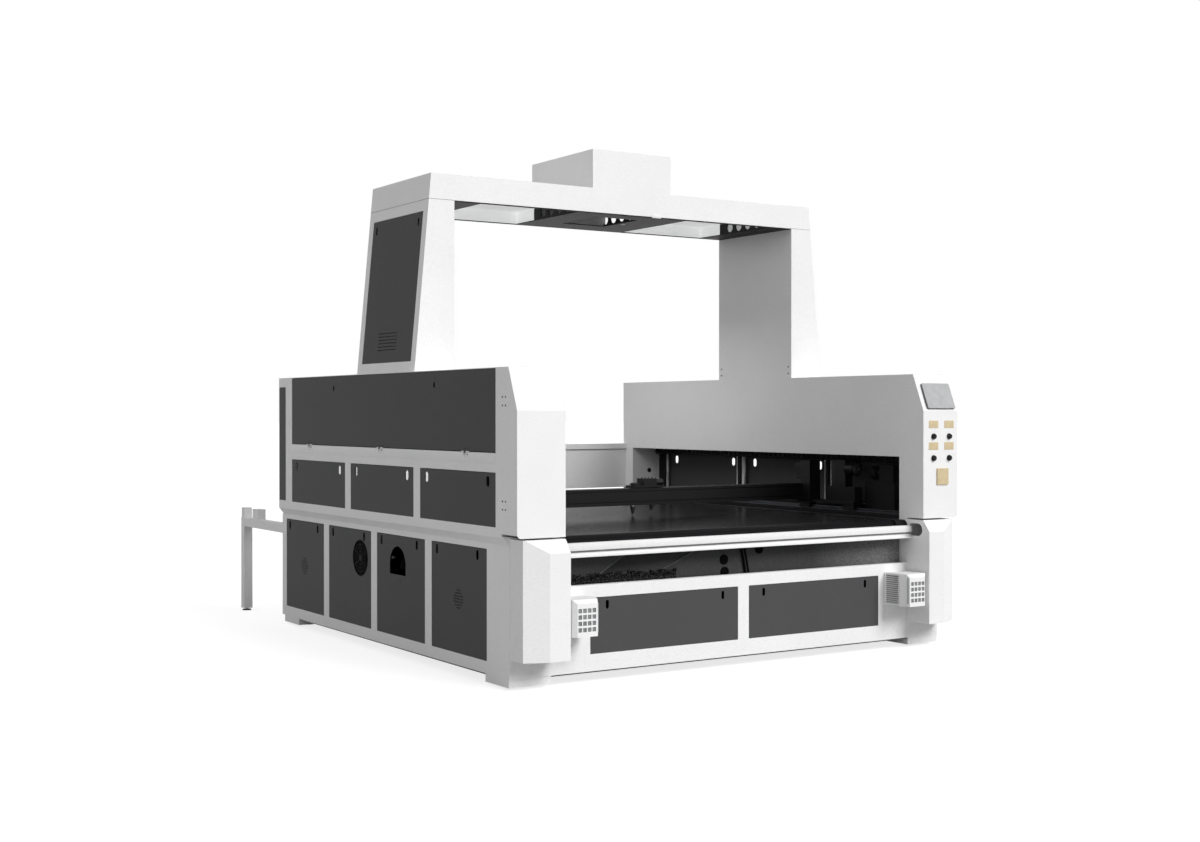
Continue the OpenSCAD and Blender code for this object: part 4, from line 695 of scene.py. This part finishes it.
def fan_screen():
    """Woven wire screen between the fan's guard and its rotor."""
    low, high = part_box("fan_frame")
    y, z = (low.y + high.y) / 2, (low.z + high.z) / 2
    x, over = low.x + 0.0047, 0.0004             # the screen's plane, and half the step between its layers
    reach, pitch, wire = 84, 5, 0.7
    piece = Piece()
    for k in range(-16, 17):
        half = math.sqrt(max(reach ** 2 - (k * pitch) ** 2, 0)) * MM
        piece.tube([Vector((x - over, y + k * pitch * MM, z + t * half)) for t in (-1, 1)], wire, 5)
        piece.tube([Vector((x + over, y + t * half, z + k * pitch * MM)) for t in (-1, 1)], wire, 5)
    piece.done("fan_screen", "fan_plastic", look=LOOKS["wire"])


def screen_glass():
    """The flat glass of the operator's screen on its sloped face."""
    run, rise = 72, 180                          # the face leans back by run over rise
    slope = math.atan(run / rise)
    place = Matrix.Translation(at(1138.5, -110, 1161)) @ Matrix.Rotation(-slope, 4, "X")
    face = place @ Matrix.Translation((0, -0.0112, 0.076)) @ Matrix.Rotation(math.pi / 2, 4, "X")
    piece = Piece()
    piece.slab(rounded(183, 130, 7), face, 2)
    piece.done("screen_glass", "screen", look=LOOKS["screen_face"])


def vent_filters():
    """Pleated filter mats inside the two vent boxes."""
    width, wall = 136, 14                        # of a box, and from its side to the mat
    pitch, fold = 4, 2.6
    height = (236, 360)
    near = -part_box("vent_boxes")[0].x / MM - width + wall
    for side, s in SIDES:
        piece = Piece()
        for k in range(26):
            start = near + pitch * k
            piece.box(strip(s, start, start + fold), (-149, -144), height, bevel=0.6)
        piece.box(strip(s, near, near + 106), (-144.4, -142), height, bevel=0.8)
        piece.done(side + "_vent_filter", "fan_plastic", look=LOOKS["filter"])


def arch_fittings():
    """Screws at the legs' feet, the tab on the arch's lower edge, the camera's hood, a glowing bar that
    paints light on the camera in the hood, and near-black bars that paint the shade in its vent slots.
    """
    piece = Piece()
    for s in (-1, 1):
        for back in (ARCH[0] + 26, ARCH[1] - 26):
            for up in (TOP + 24, TOP + 60):
                piece.screw(at(s * (INNER - 0.2), back, up), (-s, 0, 0), radius=4.5)
    piece.done("arch_foot_screws", "foot_steel")
    tab = Piece()
    tab.box((106, 161), (ARCH[0] - 2.2, ARCH[0] + 6), (ARCH_UNDER - 5, ARCH_UNDER + 13))
    tab.done("arch_tab", "white_coat")
    # Painted light: a glowing bar behind the hood's holes stands for the light on the pale camera body.
    lamp = Piece()
    lamp.box((109.5, 111.3), (ARCH[0] + 150, ARCH[0] + 440), (ARCH_UNDER + 3, ARCH_UNDER + 56), bevel=0.6)
    lamp.done("camera_painted_light_bar", "diffuser", look=LOOKS["lamp"])
    baffle = Piece()
    left, right, sheet = -150, 104, 2
    near, far = ARCH[0] + 129, ARCH[0] + 448
    low, high = ARCH_UNDER + 1, ARCH_UNDER + 60
    baffle.box((left, right), (far - sheet, far), (low, high), bevel=0.5)
    baffle.box((left, right), (near, near + sheet), (low, high), bevel=0.5)
    baffle.box((left, left + sheet), (near, far), (low, high), bevel=0.5)
    baffle.box((left, right), (near, far), (high - sheet, high), bevel=0.5)
    baffle.done("camera_baffle", "black_coat", look=LOOKS["hood"])
    # Painted shade: near-black bars stand for the dark in the hood's vent slots.
    vents = Piece()
    for k in range(11):
        start = left + 20 + 18 * k
        vents.box((start, start + 9), (near + 40, far - 60), (high - 4, high - 1.5), bevel=0.6)
    vents.done("camera_vent_painted_shade", "black_coat", look=LOOKS["near_black_and_painted_shade"])


def gantry_fittings():
    """Toothed belt along the beam, and bolts, screws and a motor's end cap at each of its ends."""
    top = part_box("gantry_beam")[1].z / MM
    belt = Piece()
    belt.box((-1006, 1006), (884, 898), (top, top + 1.2), bevel=0.3)
    for k in range(250):
        belt.box((-1000 + 8 * k, -996.4 + 8 * k), (884.5, 897.5), (top + 1, top + 2), bevel=0.3)
    belt.done("cross_belt", "bezel", "gantry")
    cap = [(30, -2), (30, 3), (26, 5), (10, 5.5), (8, 3), (0, 3)]
    for side, s in SIDES:
        piece = Piece()
        for back in (480, 520, 700, 740):
            piece.bolt(at(s * 1140, back, 690), (0, 0, 1), radius=4)
        for up in (868, 896):
            for shift in (-20, 20):
                piece.screw(at(s * (1118 + shift), 534, up), (0, -1, 0), radius=3)
        piece.lathe(at(s * 1118, 472, 861), (0, -1, 0), cap, 32)
        piece.done(side + "_gantry_fittings", "foot_steel", "gantry")


def carriage_fittings():
    """Clamp bolts and cover screws on the head carriage."""
    low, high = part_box("head_carriage")
    x, y, z = (low.x + high.x) / 2, low.y, high.z
    piece = Piece()
    for shift in (-0.026, -0.006, 0.014, 0.034):
        piece.bolt(Vector((x + shift, y + 0.03, z - 0.0005)), (0, 0, 1), radius=3.6)
    for shift in (-0.07, 0.075):
        piece.screw(Vector((x + shift, y + 0.045, z - 0.034)), (0, 0, 1), radius=3.5)
    piece.done("carriage_bolts", "foot_steel", "carriage")


def stand_fittings():
    """Rubber pads under the rear ends of the stands."""
    inset = 25                                   # from the stands' outer faces and rear ends
    for side, s in SIDES:
        piece = Piece()
        piece.lathe(at(s * (HALF_BASE - inset), STAND_END - inset, 0), (0, 0, 1),
                    [(26, 0.5), (26, 5), (22, 7), (0, 7)], 24)
        piece.done(side + "_stand_pad", "foot_steel")


def rear_fittings():
    """Bolts round the exhaust spigot, and the rear cover's screws."""
    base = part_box("base_frame")[1].y
    ring, up_ring, count = 0.118, 0.206, 8       # the bolts' circle, its height and their number
    piece = Piece()
    for k in range(count):
        a = math.pi * (k + 0.5) / 4
        piece.bolt(Vector((ring * math.cos(a), base, up_ring + ring * math.sin(a))), (0, 1, 0), radius=5)
    for x in (-900, -450, 0, 450, 900):
        for up in (712, 940):
            piece.screw(at(x, 2510, up), (0, 1, 0), radius=4)
    piece.done("rear_fasteners", "foot_steel")


def foot_nuts():
    """Lock nuts on the levelling feet."""
    low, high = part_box("levelling_feet")
    inset = 0.03                                 # from the feet's outer edges to their middles
    nut = [(17, 0), (17, 1), (13, 5), (13, 6), (8.2, 6.3)]
    piece = Piece()
    for x in (low.x + inset, high.x - inset):
        for y in (low.y + inset, high.y - inset):
            piece.lathe(Vector((x, y, 0.0055)), (0, 0, 1), nut, 6)
    piece.done("foot_nuts", "foot_steel")


for build in (side_fasteners, hinge_ledges, bay_parts_and_painted_shade, base_painted_shade_strip, front_rail_lips, nozzle_cups,
              painted_shade_liners, arch_details, scrap_chute, duct_hose, fan_screen, screen_glass,
              vent_filters, arch_fittings, gantry_fittings, carriage_fittings, stand_fittings,
              rear_fittings, foot_nuts):
    build()


# ---------------------------------------------------------------- stage

def floor_material():
    """White to the camera where nothing shades it; it keeps the machine's shadow."""
    m = Shader("floor", Roughness=0.9, Specular_IOR_Level=0.1)
    m.colour(m.mix(m.spread(m.noise(3, 2), 0, 1), (0.40, 0.40, 0.40), (0.42, 0.42, 0.42)))
    glow = m.add("ShaderNodeEmission")
    path = m.add("ShaderNodeLightPath")
    seen = m.math("MAXIMUM", path.outputs["Is Camera Ray"], path.outputs["Is Glossy Ray"])
    seen = m.math("MAXIMUM", seen, path.outputs["Is Transmission Ray"])
    glow.inputs["Strength"].default_value = 0.78
    add = m.add("ShaderNodeAddShader")
    blend = m.add("ShaderNodeMixShader")
    out = m.tree.nodes["Material Output"]
    m.link(m.bsdf.outputs["BSDF"], add.inputs[0])
    m.link(glow.outputs["Emission"], add.inputs[1])
    m.link(seen, blend.inputs["Fac"])
    m.link(m.bsdf.outputs["BSDF"], blend.inputs[1])
    m.link(add.outputs["Shader"], blend.inputs[2])
    m.link(blend.outputs["Shader"], out.inputs["Surface"])
    return m.mat


def make_floor():
    """One large face, just under the feet."""
    mesh = bpy.data.meshes.new("floor")
    bm = bmesh.new()
    bmesh.ops.create_grid(bm, x_segments=1, y_segments=1, size=400)
    bm.to_mesh(mesh)
    bm.free()
    floor = bpy.data.objects.new("floor", mesh)
    floor.location.z = -0.0005
    mesh.materials.append(floor_material())
    bpy.context.scene.collection.objects.link(floor)


def make_world(ambient):
    """White to the camera, in mirrors and through glass; on the machine its light has the given level."""
    world = bpy.data.worlds.new("studio")
    bpy.context.scene.world = world
    world.use_nodes = True
    tree = world.node_tree
    back = tree.nodes["Background"]
    path = tree.nodes.new("ShaderNodeLightPath")
    seen = tree.nodes.new("ShaderNodeMath")
    seen.operation = "MAXIMUM"
    seen_too = tree.nodes.new("ShaderNodeMath")
    seen_too.operation = "MAXIMUM"
    level = tree.nodes.new("ShaderNodeMapRange")
    level.inputs["To Min"].default_value = ambient
    level.inputs["To Max"].default_value = 1.0
    tree.links.new(path.outputs["Is Camera Ray"], seen.inputs[0])
    tree.links.new(path.outputs["Is Glossy Ray"], seen.inputs[1])
    tree.links.new(seen.outputs[0], seen_too.inputs[0])
    tree.links.new(path.outputs["Is Transmission Ray"], seen_too.inputs[1])
    tree.links.new(seen_too.outputs[0], level.inputs["Value"])
    tree.links.new(level.outputs["Result"], back.inputs["Strength"])
    back.inputs["Color"].default_value = (1, 1, 1, 1)


def make_sun(name, towards, strength, angle):
    """A lamp that shines along a direction; its angle in degrees sets how soft its shadows are."""
    lamp = bpy.data.lights.new(name, "SUN")
    lamp.energy = strength
    lamp.angle = math.radians(angle)
    sun = bpy.data.objects.new(name, lamp)
    sun.rotation_mode = "QUATERNION"
    sun.rotation_quaternion = Vector(towards).to_track_quat("-Z", "Y")
    bpy.context.scene.collection.objects.link(sun)


def make_bed_light():
    """A soft box under the camera arch, for the bed and the walls round it."""
    lamp = bpy.data.lights.new("bed_light", "AREA")
    lamp.shape = "RECTANGLE"
    lamp.size, lamp.size_y = 1.1, 1.3
    lamp.energy = 8.5
    box = bpy.data.objects.new("bed_light", lamp)
    box.location = (-0.1, 0.3, 1.7)
    box.visible_camera = False
    box.visible_glossy = False
    bpy.context.scene.collection.objects.link(box)


def make_camera():
    """The photograph's camera, as solved from the machine's straight edges."""
    tilt, turn = -0.28, -32.87           # degrees: below level, and to the right of straight ahead
    data = bpy.data.cameras.new("camera")
    data.sensor_width = 36
    data.lens = 46.44
    data.clip_end = 200
    camera = bpy.data.objects.new("camera", data)
    camera.location = (-4.376, -7.0805, 1.149)
    camera.rotation_euler = (math.radians(90 + tilt), 0, math.radians(turn))
    bpy.context.scene.collection.objects.link(camera)
    bpy.context.scene.camera = camera


make_floor()
make_world(ambient=0.37)
make_sun("key", towards=(-0.30, 0.80, -0.62), strength=2.62, angle=30)
make_sun("fill", towards=(0.78, 0.25, -0.45), strength=0.3, angle=70)
make_bed_light()
make_camera()
bpy.context.scene.view_settings.view_transform = "Standard"
